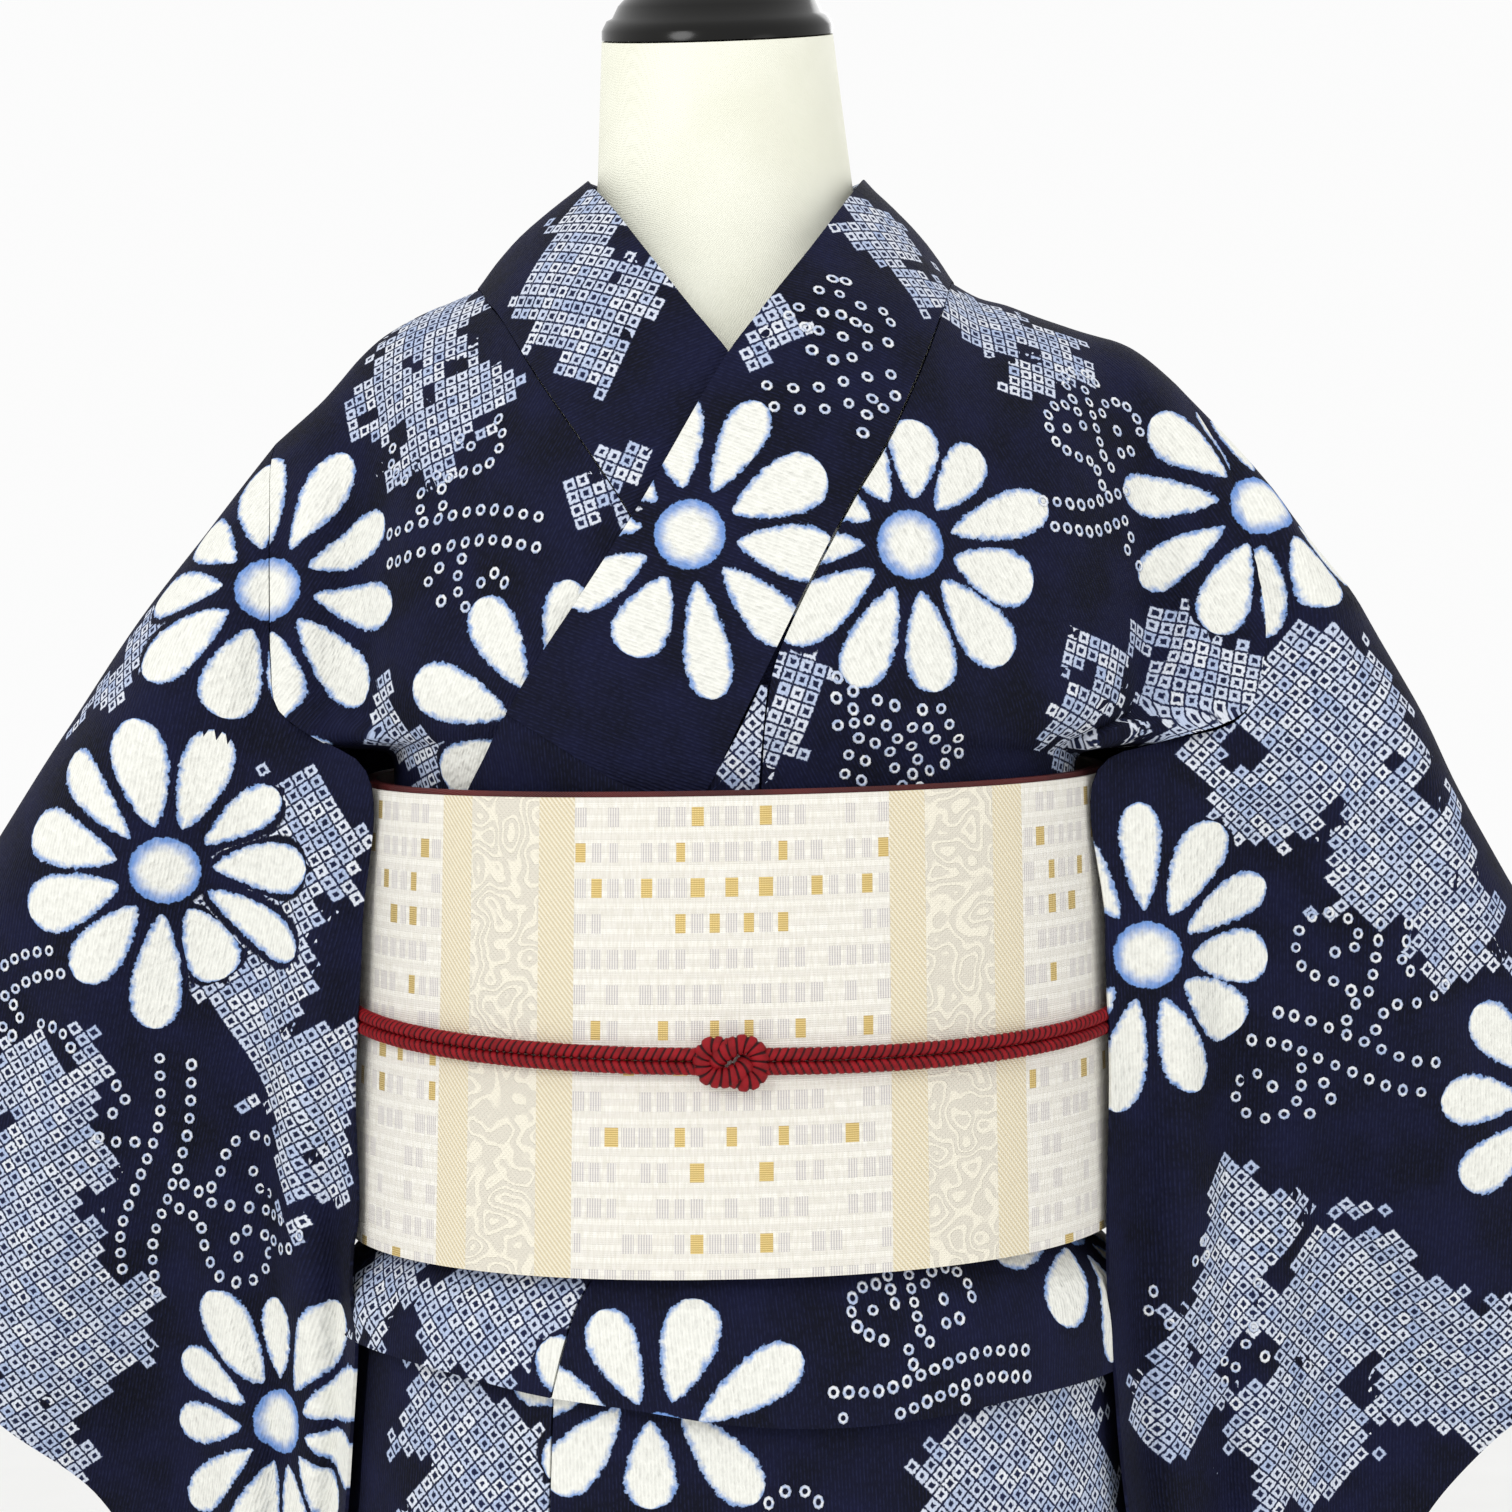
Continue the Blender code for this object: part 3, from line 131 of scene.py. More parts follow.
# Collar round the neck, from the front of the left shoulder to the front of the right:
# inner edge x y z, outer seam x and share on the bodice
COLLAR_NECK = (
    (0.0108, -0.082, 1.305, 0.0695, 0.729), (0.0233, -0.0705, 1.3235, 0.0735, 0.81),
    (0.0352, -0.05, 1.3425, 0.0765, 0.9), (0.0425, -0.024, 1.356, 0.0785, 0.985),
    (0.045, 0.008, 1.364, 0.079, 1.08), (0.0455, 0.037, 1.369, 0.0765, 1.175),
    (0.037, 0.061, 1.371, 0.065, 1.265), (0.018, 0.076, 1.372, 0.038, 1.345),
    (-0.006, 0.081, 1.372, -0.006, 1.381), (-0.03, 0.076, 1.372, -0.051, 1.345),
    (-0.049, 0.061, 1.371, -0.079, 1.265), (-0.057, 0.037, 1.369, -0.0915, 1.175),
    (-0.056, 0.008, 1.364, -0.096, 1.08), (-0.0535, -0.024, 1.356, -0.0958, 0.985),
    (-0.044, -0.05, 1.3425, -0.0935, 0.9), (-0.031, -0.0705, 1.3235, -0.089, 0.81),
    (-0.0176, -0.082, 1.305, -0.084, 0.752),
)
CENTRE_ROW = 8
COLLAR_COLUMNS = 5
COLLAR_ROLL = (0.0045, 0.0065)
# Middle heights of the collar's rows: the plain end, then the cover strip
END_KEYS = (1.085, 1.120)
COVER_END_Z = 1.1467
UNDER_COVER = 0.0017
COVER_TOP_Z = 1.3050
COVER_ROWS = 10
COLLAR_SLOPE = 0.45
COLLAR_LEVEL_Z = 1.270
# Shares on the bodice between which the collar's roll grows, and how far its ends run under the cover
COLLAR_ROLL_SHARES = (0.75, 0.95)
COLLAR_END_RUNS = (0.003, 0.012)
ARCH_LENGTH = 0.346
NEAR_TIP_SHARE = 0.45
# Seam of the left front's overlap panel above the belt: height, x
TIP_SEAM = ((1.0180, 0.0085), (1.1600, 0.0085), (1.1740, 0.0100), (1.1880, 0.0142), (1.2019, 0.0196))
TIP_LEVELS = (1.0180, 1.0700, 1.1100, 1.1400, 1.1600, 1.1740)

# Belt: tilted down to the front and up to the right
OBI_HEIGHT = 0.160
OBI_TOP_Z = 1.1440
OBI_TILT = 0.065
OBI_ROLL = 0.020
OBI_HALF_WIDTH_TOP = 0.1385
OBI_HALF_WIDTH_LOW = 0.1425
OBI_HALF_DEPTH = 0.1120
OBI_POWER = 2.2
OBI_EDGE_SHOWS = 0.0016

# Cord round the belt
CORD_RADIUS = 0.0021
CORD_Z = 1.0635
CORD_TILT = 0.126
# Cord behind the sides, round the belt's hand end and through the drum: x and y
CORD_BEHIND = (
    (0.1452, 0.035), (0.147, 0.075), (0.1545, 0.105), (0.1585, 0.13), (0.152, 0.153), (0.125, 0.1615),
    (0.06, 0.1632), (0.0, 0.1635),
)
CORD_BACK_TILT = 0.45
CORD_RINGS = 2400
CORD_SIDES = 14
KNOT_X = -0.0002
KNOT_HALF_WIDTH = 0.0115
CORD_IN_KNOT = 0.0045
KNOT_HALF_DEPTH = 0.0027

# Drum of the belt behind, and its tail: y and z of its section
DRUM_HALF_WIDTH = 0.145
DRUM_SECTION = (
    (0.1146, 1.1), (0.1148, 1.138), (0.125, 1.161), (0.145, 1.168), (0.168, 1.156), (0.186, 1.12),
    (0.194, 1.06), (0.193, 0.99), (0.186, 0.93), (0.174, 0.899), (0.161, 0.895), (0.15, 0.91),
    (0.144, 0.96), (0.143, 1.04),
)
DRUM_BOW = 0.10
DRUM_STEPS, TAIL_STEPS, HAND_STEPS = 21, 8, 22
TAIL_SECTION = (
    (0.1148, 1.0993), (0.122, 1.07), (0.133, 1.03), (0.1365, 0.96), (0.1375, 0.9), (0.138, 0.825),
)
TAIL_INSET = 0.003
# Hand end of the belt seen from above, right half: x and y
HAND_PLAN = (
    (0.0, 0.1575), (0.06, 0.1571), (0.1, 0.156), (0.125, 0.1545), (0.143, 0.149), (0.15, 0.138),
    (0.1515, 0.13),
)
HAND_Z = 1.0700
HAND_HALF_HEIGHT = 0.0400

# Waist tuck below the belt: way from the left side to the right, height of its lower fold
TUCK_HEM = (
    (0.0, 0.9455), (0.106, 0.9448), (0.294, 0.941), (0.375, 0.9363), (0.442, 0.9334), (0.51, 0.9285),
    (0.608, 0.9281), (0.7, 0.9319), (0.931, 0.9345), (1.0, 0.935),
)
TUCK_BACK_Z = 0.940
TUCK_TOP_Z = 0.996
TUCK_LIFT = 0.0048
TUCK_PUFF = 0.0035
# Heights below the belt's lower edge between which the tuck's puff ends
TUCK_PUFF_ENDS = (0.028, 0.003)
TUCK_ROUND = 0.0008
# Heights of the tuck's rows above its lowest two, the same as the skirt's
TUCK_LEVELS = (0.954, 0.966, 0.974, 0.98, TUCK_TOP_Z)
# Turns of the seams of tuck and skirt round the body; 0 is the front, a quarter turn the right side
TUCK_OKUMI_TURN = (-0.384, -0.292)
TUCK_SIDE_TURN = -1.21
TUCK_PAST_SIDE = 0.06
OKUMI_TURN = -0.40
TURN_STEP = math.pi / 14
OVERLAP_TURN = -5 * TURN_STEP
UNDER_OKUMI_TURNS = (3 * TURN_STEP, 6 * TURN_STEP)
SEAM_TURN = 0.0022
SKIRT_LAYER = 0.0020

# Skirt: height, half width, half depth of its inner layer
SKIRT = (
    (0.035, 0.135, 0.104), (0.2, 0.1385, 0.108), (0.4, 0.145, 0.114), (0.6, 0.149, 0.1175),
    (0.75, 0.1475, 0.1165), (0.86, 0.144, 0.112), (0.92, 0.14, 0.1065), (0.95, 0.138, 0.104),
    (0.966, 0.1355, 0.103), (0.974, 0.129, 0.1003), (0.98, WAIST_HALF_WIDTH, WAIST_HALF_DEPTH),
    (1.014, WAIST_HALF_WIDTH, WAIST_HALF_DEPTH),
)

SKIRT_LEVELS = (HEM_Z, 0.2, 0.4, 0.6, 0.72, 0.8, 0.86, 0.9, 0.93, 0.95, 0.966, 0.974, 0.98, SKIRT_TOP_Z)

# Sleeves: share of the way down, x on the left, x on the right and z of the inner edge below the armhole
SLEEVE_INNER = (
    (0.0, 0.1345, 0.1295, 1.149), (0.1, 0.1318, 0.1285, 1.115), (0.2, 0.1325, 0.129, 1.0775),
    (0.28, 0.1345, 0.1306, 1.05), (0.42, 0.1335, 0.13, 0.995), (0.55, 0.1335, 0.13, 0.955),
    (0.8, 0.14, 0.14, 0.86), (1.0, 0.152, 0.152, 0.772),
)
SLEEVE_BACK_OUT = 0.018
SLEEVE_BACK_IN = -0.014
# Cuff edge from the wrist corner down to the rounded lower corner: share, x on the left, x on the right, z
SLEEVE_CUFF = (
    (0.0, 0.36, 0.362, 0.988), (0.2, 0.315, 0.324, 0.945), (0.38, 0.2744, 0.287, 0.908),
    (0.56, 0.23, 0.253, 0.868), (0.72, 0.216, 0.238, 0.83), (0.88, 0.21, 0.229, 0.788),
    (0.95, 0.2, 0.218, 0.765), (1.0, 0.182, 0.2, 0.756),
)
# Fold along the top of each sleeve, from the armhole to the wrist corner: x and z
SLEEVE_TOP_LEFT = (
    (0.17, 1.2655), (0.1973, 1.228), (0.2151, 1.2067), (0.2347, 1.18), (0.274, 1.1178), (0.36, 0.988),
)
SLEEVE_TOP_RIGHT = (
    (0.1556, 1.291), (0.1738, 1.273), (0.19, 1.2515), (0.2256, 1.2067), (0.2738, 1.1178), (0.362, 0.988),
)
SLEEVE_FREE_ROWS = 7
SLEEVE_RINGS = 11
SLEEVE_DEPTH_LOW = 0.030
SLEEVE_DROP = 0.004
SLEEVE_DEPTH_BODY = 0.055
SLEEVE_DEPTH_CUFF = 0.013
SLEEVE_TAPER = 1.3
# Share of the way down over which a sleeve opens from its top fold
SLEEVE_ARCH_SHARE = 0.16
CUFF_OPEN_SHARE = 0.45
CUFF_PINCH = 0.0024
# Large sleeve folds: way out at the top, way out at the bottom, width, depth, how far down it starts
SLEEVE_FOLDS = (
    (0.02, 0.3, 0.05, -0.007, 0.05), (0.18, 0.46, 0.06, 0.006, 0.1), (0.36, 0.66, 0.07, -0.006, 0.2),
    (0.62, 0.9, 0.08, 0.005, 0.3),
)

# Dress form: height, half width, half depth in front, half depth behind, centre x
FORM = (
    (0.7, 0.09, 0.07, 0.07, -0.002), (0.706, 0.104, 0.08, 0.08, -0.002),
    (0.73, 0.118, 0.092, 0.092, -0.002), (0.79, 0.129, 0.101, 0.102, -0.002),
    (0.86, 0.129, 0.1, 0.1, -0.002), (0.91, 0.125, 0.0985, 0.0985, -0.002),
    (0.95, 0.1228, 0.0967, 0.0967, -0.002), (1.06, 0.1226, 0.0966, 0.0966, -0.002),
    (1.12, 0.1205, 0.095, 0.093, -0.002), (1.156, 0.119, 0.0945, 0.092, -0.001),
    (1.19, 0.1275, 0.097, 0.091, 0.0), (1.23, 0.133, 0.09, 0.084, 0.001),
    (1.262, 0.128, 0.08, 0.072, 0.001), (1.284, 0.113, 0.0715, 0.06, 0.001),
    (1.3, 0.089, 0.064, 0.052, -0.001), (1.316, 0.062, 0.056, 0.046, -0.004),
    (1.334, 0.0505, 0.0505, 0.044, -0.005), (1.362, 0.047, 0.0475, 0.043, -0.0055),
    (1.39, 0.0448, 0.045, 0.0425, -0.007), (1.416, 0.0428, 0.043, 0.042, -0.0083),
)
NECK_CENTRE_X = -0.0083
NECK_TILT = math.radians(16)
CAP_RADIUS = 0.0428
CAP_DEPTH_SHARE = 0.96
NECK_ROLL = math.radians(2)
NECK_CUT_Z = 1.370
ROUND_COLUMNS = 96
FORM_LONG_STEP = 0.05
# Cap on the neck: share of its radius, height above the neck's rim
CAP_PROFILE = (
    (1.0, 0.0006), (1.0, 0.004), (0.96, 0.0075), (0.91, 0.0085), (0.86, 0.013), (0.74, 0.0185),
    (0.55, 0.022), (0.3, 0.0237), (0.06, 0.024),
)
POLE_RADIUS = 0.014
BASE_RADIUS = 0.170
BASE_THICKNESS = 0.012
POLE_FOOT_RADIUS = 0.025
POLE_FOOT_Z = 0.030
PART_GAP = 0.0003


def curve_point(values, slopes, i, step, t):
    """A point on a smooth curve, a share t of the way from value i to the next."""
    near = values[i] * (2 * t**3 - 3 * t**2 + 1) + slopes[i] * step * (t**3 - 2 * t**2 + t)
    far = values[i + 1] * (3 * t**2 - 2 * t**3) + slopes[i + 1] * step * (t**3 - t**2)
    return near + far


def ways(points):
    """How far along a line each of its points lies."""
    return np.concatenate([[0.0], np.cumsum(np.linalg.norm(np.diff(points, axis=0), axis=1))])


def unit(vectors):
    """The same directions with a length of one."""
    return vectors / np.linalg.norm(vectors, axis=-1, keepdims=True)


def through(rows, key):
    """Values at a key, on a smooth curve through rows of (key, value, ...)."""
    rows = np.asarray(rows, float)
    keys, values = rows[:, 0], rows[:, 1:]
    slopes = np.gradient(values, keys, axis=0)
    key = float(np.clip(key, keys[0], keys[-1]))
    i = int(np.clip(np.searchsorted(keys, key) - 1, 0, len(keys) - 2))
    step = keys[i + 1] - keys[i]
    result = curve_point(values, slopes, i, step, (key - keys[i]) / step)
    return result if len(result) > 1 else float(result[0])


def along(points, share):
    """A point at a share of the way along a smooth curve through points."""
    points = np.asarray(points, float)
    keys = ways(points)
    return through(np.column_stack([keys / keys[-1], points]), share)


def ease(value, low, high):
    t = min(1.0, max(0.0, (value - low) / (high - low)))
    return t * t * (3 - 2 * t)


def mix(a, b, share):
    return a + (b - a) * share


def normals_of(grid, ring):
    """Unit normals of a grid of points, from its rows and columns."""
    down = np.gradient(grid, axis=0)
    if ring:
        across = np.roll(grid, -1, axis=1) - np.roll(grid, 1, axis=1)
    else:
        across = np.gradient(grid, axis=1)
    normals = np.cross(across, down)
    lengths = np.linalg.norm(normals, axis=2, keepdims=True)
    return normals / np.maximum(lengths, 1e-12)


def moved_out(grid, distance, ring=False):
    """The grid moved along its normals by one distance or a grid of distances."""
    distance = np.asarray(distance, float)
    if distance.ndim == 2:
        distance = distance[:, :, None]
    return grid + normals_of(grid, ring) * distance


def oval_point(angle, half_width, half_depth, power):
    """A point of a rounded oval; angle 0 is the front, a quarter turn is the right side."""
    s, c = math.sin(angle), math.cos(angle)
    x = half_width * math.copysign(abs(s) ** (2 / power), s)
    y = -half_depth * math.copysign(abs(c) ** (2 / power), c)
    return x, y


def waist_depth(x):
    share = min(1.0, abs(x - WAIST_X) / WAIST_HALF_WIDTH)
    return WAIST_HALF_DEPTH * (1 - share**WAIST_POWER) ** (1 / WAIST_POWER)


def bodice_point(x, share):
    """The bodice's inner surface: share 0 is its front edge, 1 the shoulder, 2 its back edge."""
    front = share <= 1
    way = share if front else 2 - share
    top = through(SHOULDER_LINE, x)
    depth = through(BODICE_DEPTH, abs(x))[0 if front else 1]
    if way < BODICE_FLAT_SHARE:
        z = mix(BODICE_LOW_Z, CHEST_Z, way / BODICE_FLAT_SHARE)
    else:
        turn = (way - BODICE_FLAT_SHARE) / (1 - BODICE_FLAT_SHARE) * math.pi / 2
        z = mix(CHEST_Z, top, math.sin(turn))
        depth *= math.cos(turn)
    waist = waist_depth(x)
    belt_top = OBI_TOP_Z + x * OBI_ROLL + (-waist if front else waist) * OBI_TILT
    over_belt = ease(z, belt_top + BELT_RELEASE[0], belt_top + BELT_RELEASE[1])
    beyond = ease(abs(x - WAIST_X), *SIDE_RELEASE_X) * ease(z, *SIDE_RELEASE_Z)
    depth = mix(waist, depth, max(over_belt, beyond))
    fold_left, fold_right, fold_depth = through(ARM_FOLD, z)
    fold_x = fold_right if x > 0 else fold_left
    valley = fold_depth * math.exp(-(((abs(x) - fold_x) / ARM_FOLD_WIDTH) ** 2))
    depth -= min(valley, 0.6 * depth)
    return np.array([x, -depth if front else depth, z])


def share_of_height(x, z):
    """How far up the front the bodice reaches a height."""
    if z < CHEST_Z:
        return BODICE_FLAT_SHARE * (z - BODICE_LOW_Z) / (CHEST_Z - BODICE_LOW_Z)
    rise = min(1.0, (z - CHEST_Z) / (through(SHOULDER_LINE, x) - CHEST_Z))
    return BODICE_FLAT_SHARE + (1 - BODICE_FLAT_SHARE) * math.asin(rise) / (math.pi / 2)


def chest_point(x, z):
    return bodice_point(x, share_of_height(x, z))


def over_lift(share):
    """How far the left front is lifted off the right at a share of the way up."""
    return LAYER_STEP * (1 - ease(share, *OVER_LIFT_ENDS))


def front_station(table, key):
    """One row of the collar on the front: inner edge x and z, outer seam x and z."""
    inner, outer = through(table, key)
    drop = COLLAR_SLOPE * (1 - ease(key, COLLAR_LEVEL_Z, COVER_TOP_Z)) * abs(outer - inner) / 2
    return through(table, key + drop)[0], key + drop, through(table, key - drop)[1], key - drop


def cover_keys():
    return [mix(COVER_END_Z, COVER_TOP_Z, i / (COVER_ROWS - 1)) for i in range(COVER_ROWS)]


def collar_seam(side):
    """Points (x, share) of the collar's outer seam on one half, past the centre back."""
    table = COLLAR_OVER if side > 0 else COLLAR_UNDER
    points = []
    for key in list(END_KEYS) + cover_keys():
        x, z = front_station(table, key)[2:]
        points.append((x, share_of_height(x, z)))
    neck = COLLAR_NECK if side > 0 else COLLAR_NECK[::-1]
    points += [row[3:] for row in neck[1 : CENTRE_ROW + 2]]
    return np.array(points)


def bodice_inner_edge(side):
    """Points (x, share) of a bodice half along collar and centre back, a gap off the seam."""
    seam = collar_seam(side)
    centre = side * COLLAR_NECK[CENTRE_ROW][3]
    flat = np.column_stack([side * seam[:, 0], seam[:, 1] * ARCH_LENGTH])
    ahead = unit(np.gradient(flat, axis=0))
    flat += np.column_stack([ahead[:, 1], -ahead[:, 0]]) * EDGE_GAP
    points = []
    for u, length in flat[:-1]:
        share = length / ARCH_LENGTH
        if side > 0 and share < NEAR_TIP_SHARE:
            z = bodice_point(u, share)[2]
            u = max(u, through(TIP_SEAM, z) + EDGE_GAP) if z < TIP_SEAM[-1][0] else u
        points.append((max(u, centre + SEAM_GAP / 2), share))
    points.insert(0, (points[0][0], 0.0))
    points += [(centre + SEAM_GAP / 2, share) for share in CENTRE_SHARES]
    return [(side * u, share) for u, share in points]


def side_x(side, way):
    """Where a bodice half ends at the side: by the waist's oval, or at the armhole seam."""
    if way < ARMPIT_SHARE:
        return waist_x(side * WAIST_SIDE_ANGLE)
    left_x, right_x = through(BODICE_SIDE, way)
    return right_x if side > 0 else -left_x


def waist_x(angle):
    return oval_point(angle, WAIST_HALF_WIDTH, WAIST_HALF_DEPTH, WAIST_POWER)[0] + WAIST_X


def waist_angle(x):
    """Turn round the waist's oval at which it has a given x."""
    reach = min(1.0, abs(x - WAIST_X) / WAIST_HALF_WIDTH)
    return math.copysign(math.asin(reach ** (WAIST_POWER / 2)), x - WAIST_X)


def make_bodice_half(side):
    """Front, shoulder and back of one half, in one piece as it is cut."""
    grid = np.zeros((len(SIDE_SHARES), len(COLUMN_SHARES), 3))
    lifts = np.zeros(grid.shape[:2])
    for i, (inner, end_share) in enumerate(zip(bodice_inner_edge(side), SIDE_SHARES)):
        inner_x, inner_share = inner
        way = min(end_share, 2 - end_share)
        end_x = side_x(side, way)
        for j, across in enumerate(COLUMN_SHARES):
            share = mix(inner_share, end_share, across)
            x = mix(inner_x, end_x, across)
            if way < ARMPIT_SHARE:
                angle = mix(waist_angle(inner_x), waist_angle(end_x), across)
                x = waist_x(angle)
            grid[i, j] = bodice_point(x, share)
            if side > 0:
                lifts[i, j] = over_lift(share) * (1 - ease(across, *LIFT_END))
    grid = moved_out(grid, lifts * facing(grid))
    name = "left_bodice" if side > 0 else "right_bodice"
    add_wall(name, grid, COTTON)
    return grid


def make_okumi_tip():
    """The left overlap panel's narrow top, between the collar's seam and its own."""
    grid = np.zeros((len(TIP_LEVELS), 3, 3))
    for i, z in enumerate(TIP_LEVELS):
        left = through(COLLAR_OVER, z)[1] + EDGE_GAP * 1.1
        right = max(through(TIP_SEAM, z) - EDGE_GAP / 2, left + COTTON / 2)
        for j in range(3):
            grid[i, j] = chest_point(mix(left, right, j / 2), z)
    add_wall("left_okumi_tip", moved_out(grid, LAYER_STEP * facing(grid)), COTTON)


def facing(grid):
    """1 where the grid's normals point away from the body, -1 where they point in."""
    normals = normals_of(grid, False)
    middle = np.array([0.0, 0.0, 1.15])
    outward = np.einsum("ijk,ijk->", normals, grid - middle)
    return 1.0 if outward > 0 else -1.0


def collar_front_row(kind, key):
    """Points across the collar on the front, inner edge first, and how far each is lifted."""
    table = COLLAR_OVER if kind == "over" else COLLAR_UNDER
    x_in, z_in, x_out, z_out = front_station(table, key)
    points, lifts = [], []
    for j in range(COLLAR_COLUMNS):
        across = j / (COLLAR_COLUMNS - 1)
        x, z = mix(x_in, x_out, across), mix(z_in, z_out, across)
        points.append(chest_point(x, z))
        lifts.append(over_lift(share_of_height(x, z)) if kind == "over" else 0.0)
    return points, lifts


def collar_neck_row(row):
    """Points across the collar round the neck, inner edge first, and how far each is lifted."""
    inner = np.array(row[:3])
    outer = bodice_point(row[3], row[4])
    middle = np.array([COLLAR_NECK[CENTRE_ROW][3], 0.0, inner[2]])
    out = unit((mix(inner, outer, 0.5) - middle) * np.array([1.0, 1.0, 0.0]))
    roll = mix(COLLAR_ROLL[1], COLLAR_ROLL[0], ease(row[4], *COLLAR_ROLL_SHARES))
    points, lifts = [], []
    for j in range(COLLAR_COLUMNS):
        across = j / (COLLAR_COLUMNS - 1)
        points.append(mix(inner, outer, across) + out * roll * math.sin(math.pi * across))
        lifts.append(over_lift(row[4]) * across if row[3] > 0 else 0.0)
    return points, lifts


def add_collar(name, rows, covered=0):
    """A length of the collar from its rows, the last ones of which may lie under the cover."""
    grid, lifts = (np.array([row[k] for row in rows]) for k in (0, 1))
    lifts[len(rows) - covered :] -= UNDER_COVER
    add_wall(name, moved_out(grid, lifts * facing(grid)), COLLAR_CLOTH)


def make_collar():
    """The collar's cover strip, one length round the neck, and the two ends below it."""
    rows = [collar_front_row("over", key) for key in cover_keys()]
    rows += [collar_neck_row(row) for row in COLLAR_NECK[1:-1]]
    rows += [collar_front_row("under", key) for key in cover_keys()[::-1]]
    add_collar("collar_cover", rows)
    for kind, name in (("over", "collar_left_end"), ("under", "collar_right_end")):
        last = COVER_END_Z - 2 * EDGE_GAP
        keys = (*END_KEYS, mix(END_KEYS[-1], last, 0.5), last, *(last + run for run in COLLAR_END_RUNS))
        add_collar(name, [collar_front_row(kind, key) for key in keys], len(COLLAR_END_RUNS))


def sleeve_edge_in(side, seam, back):
    """Inner edge of a sleeve, front or back: the armhole seam, then the free edge to the bottom."""
    points = list(seam)
    for i in range(SLEEVE_FREE_ROWS):
        left_x, right_x, z = through(SLEEVE_INNER, i / (SLEEVE_FREE_ROWS - 1))
        x = right_x if side > 0 else left_x
        if back:
            x += mix(SLEEVE_BACK_IN, SLEEVE_BACK_OUT, ease(i, 0.9, 2))
        points.append(np.array([side * x, SLEEVE_DEPTH_BODY if back else -SLEEVE_DEPTH_BODY, z]))
    return np.array(points)


def sleeve_grid(side, seam_front, seam_back):
    """Rings of a sleeve from the armhole to the cuff; each runs down the front and up the back."""
    front_in = sleeve_edge_in(side, seam_front, False)
    back_in = sleeve_edge_in(side, seam_back, True)
    top_line = SLEEVE_TOP_RIGHT if side > 0 else SLEEVE_TOP_LEFT
    down = ways(front_in) / ways(front_in)[-1]
    grid = []
    for i in range(SLEEVE_RINGS):
        s = i / (SLEEVE_RINGS - 1)
        top_x, top_z = along(top_line, s) - mix(np.array(top_line[0]), np.array(top_line[-1]), s)
        near = mix(SLEEVE_DEPTH_BODY, SLEEVE_DEPTH_CUFF, s**SLEEVE_TAPER)
        blend = ease(s, 0.0, 0.12)
        front, back = [], []
        for j, t in enumerate(down):
            left_x, right_x, z_cuff = through(SLEEVE_CUFF, t)
            cuff = np.array([side * (right_x if side > 0 else left_x), 0.0, z_cuff])
            low = mix(near, SLEEVE_DEPTH_LOW, ease(t, 0.3, 1.0) * (1 - s))
            pinched = ease(t, CUFF_OPEN_SHARE - 0.1, CUFF_OPEN_SHARE + 0.05) * s**SLEEVE_TAPER
            arch = math.sin(math.pi / 2 * min(1.0, t / SLEEVE_ARCH_SHARE)) ** 0.7
            depth = mix(low, CUFF_PINCH / 2, pinched) * arch * (1 - ease(t, 0.93, 1.0))
            depth = max(depth, CUFF_PINCH / 2)
            fold = sleeve_fold(s, t) * blend * ease(t, 0.02, 0.2)
            for ring, start, sign in ((front, front_in[j], -1), (back, back_in[j], 1)):
                point = mix(start, cuff, s)
                point[0] += side * top_x * (1 - t) ** 2
                point[2] += top_z * (1 - t) ** 2
                point[1] = sign * mix(abs(start[1]), depth, blend) + fold
                ring.append(point)
        top = mix(front[0], back[0], 0.5)
        bottom = mix(front[-1], back[-1], 0.5) - np.array([0.0, 0.0, SLEEVE_DROP])
        grid.append([top] + front[1:] + [bottom] + back[:0:-1])
    return np.array(grid)


def sleeve_fold(s, t):
    """How far the large folds move both walls of a sleeve to the back."""
    total = 0.0
    for top, bottom, width, depth, start in SLEEVE_FOLDS:
        centre = mix(top, bottom, t)
        total += depth * math.exp(-(((s - centre) / width) ** 2)) * ease(t, start, start + 0.3)
    return total * math.sqrt(max(0.0, math.sin(math.pi * min(1.0, s / 0.9))))


def make_sleeve(side, bodice):
    """Sleeve hung from the armhole: a flat bag, open at the cuff and along its inner edge."""
    top = SIDE_SHARES.index(1.0)
    count = top - SIDE_SHARES.index(ARMPIT_SHARE) + 1
    sideways = unit(bodice[:, -1] - bodice[:, -2])
    along_seam = unit(np.gradient(bodice[:, -1], axis=0))
    sideways -= along_seam * np.sum(sideways * along_seam, axis=1, keepdims=True)
    seam = bodice[:, -1] + unit(sideways) * ARMHOLE_GAP
    grid = sleeve_grid(side, seam[top - count + 1 : top + 1][::-1], seam[top : top + count])
    name = "left_sleeve" if side > 0 else "right_sleeve"
    add_wall(name, grid, COTTON, ring=True)


def obi_ring(z_share, lift, columns=44):
    """A level of the belt, from its lower edge at 0 to its upper at 1."""
    ring = []
    half_width = mix(OBI_HALF_WIDTH_LOW, OBI_HALF_WIDTH_TOP, z_share) + lift
    for j in range(columns):
        x, y = oval_point(2 * math.pi * j / columns, half_width, OBI_HALF_DEPTH + lift, OBI_POWER)
        z = OBI_TOP_Z - OBI_HEIGHT * (1 - z_share) + y * OBI_TILT + x * OBI_ROLL
        ring.append((x + WAIST_X, y, z))
    return ring


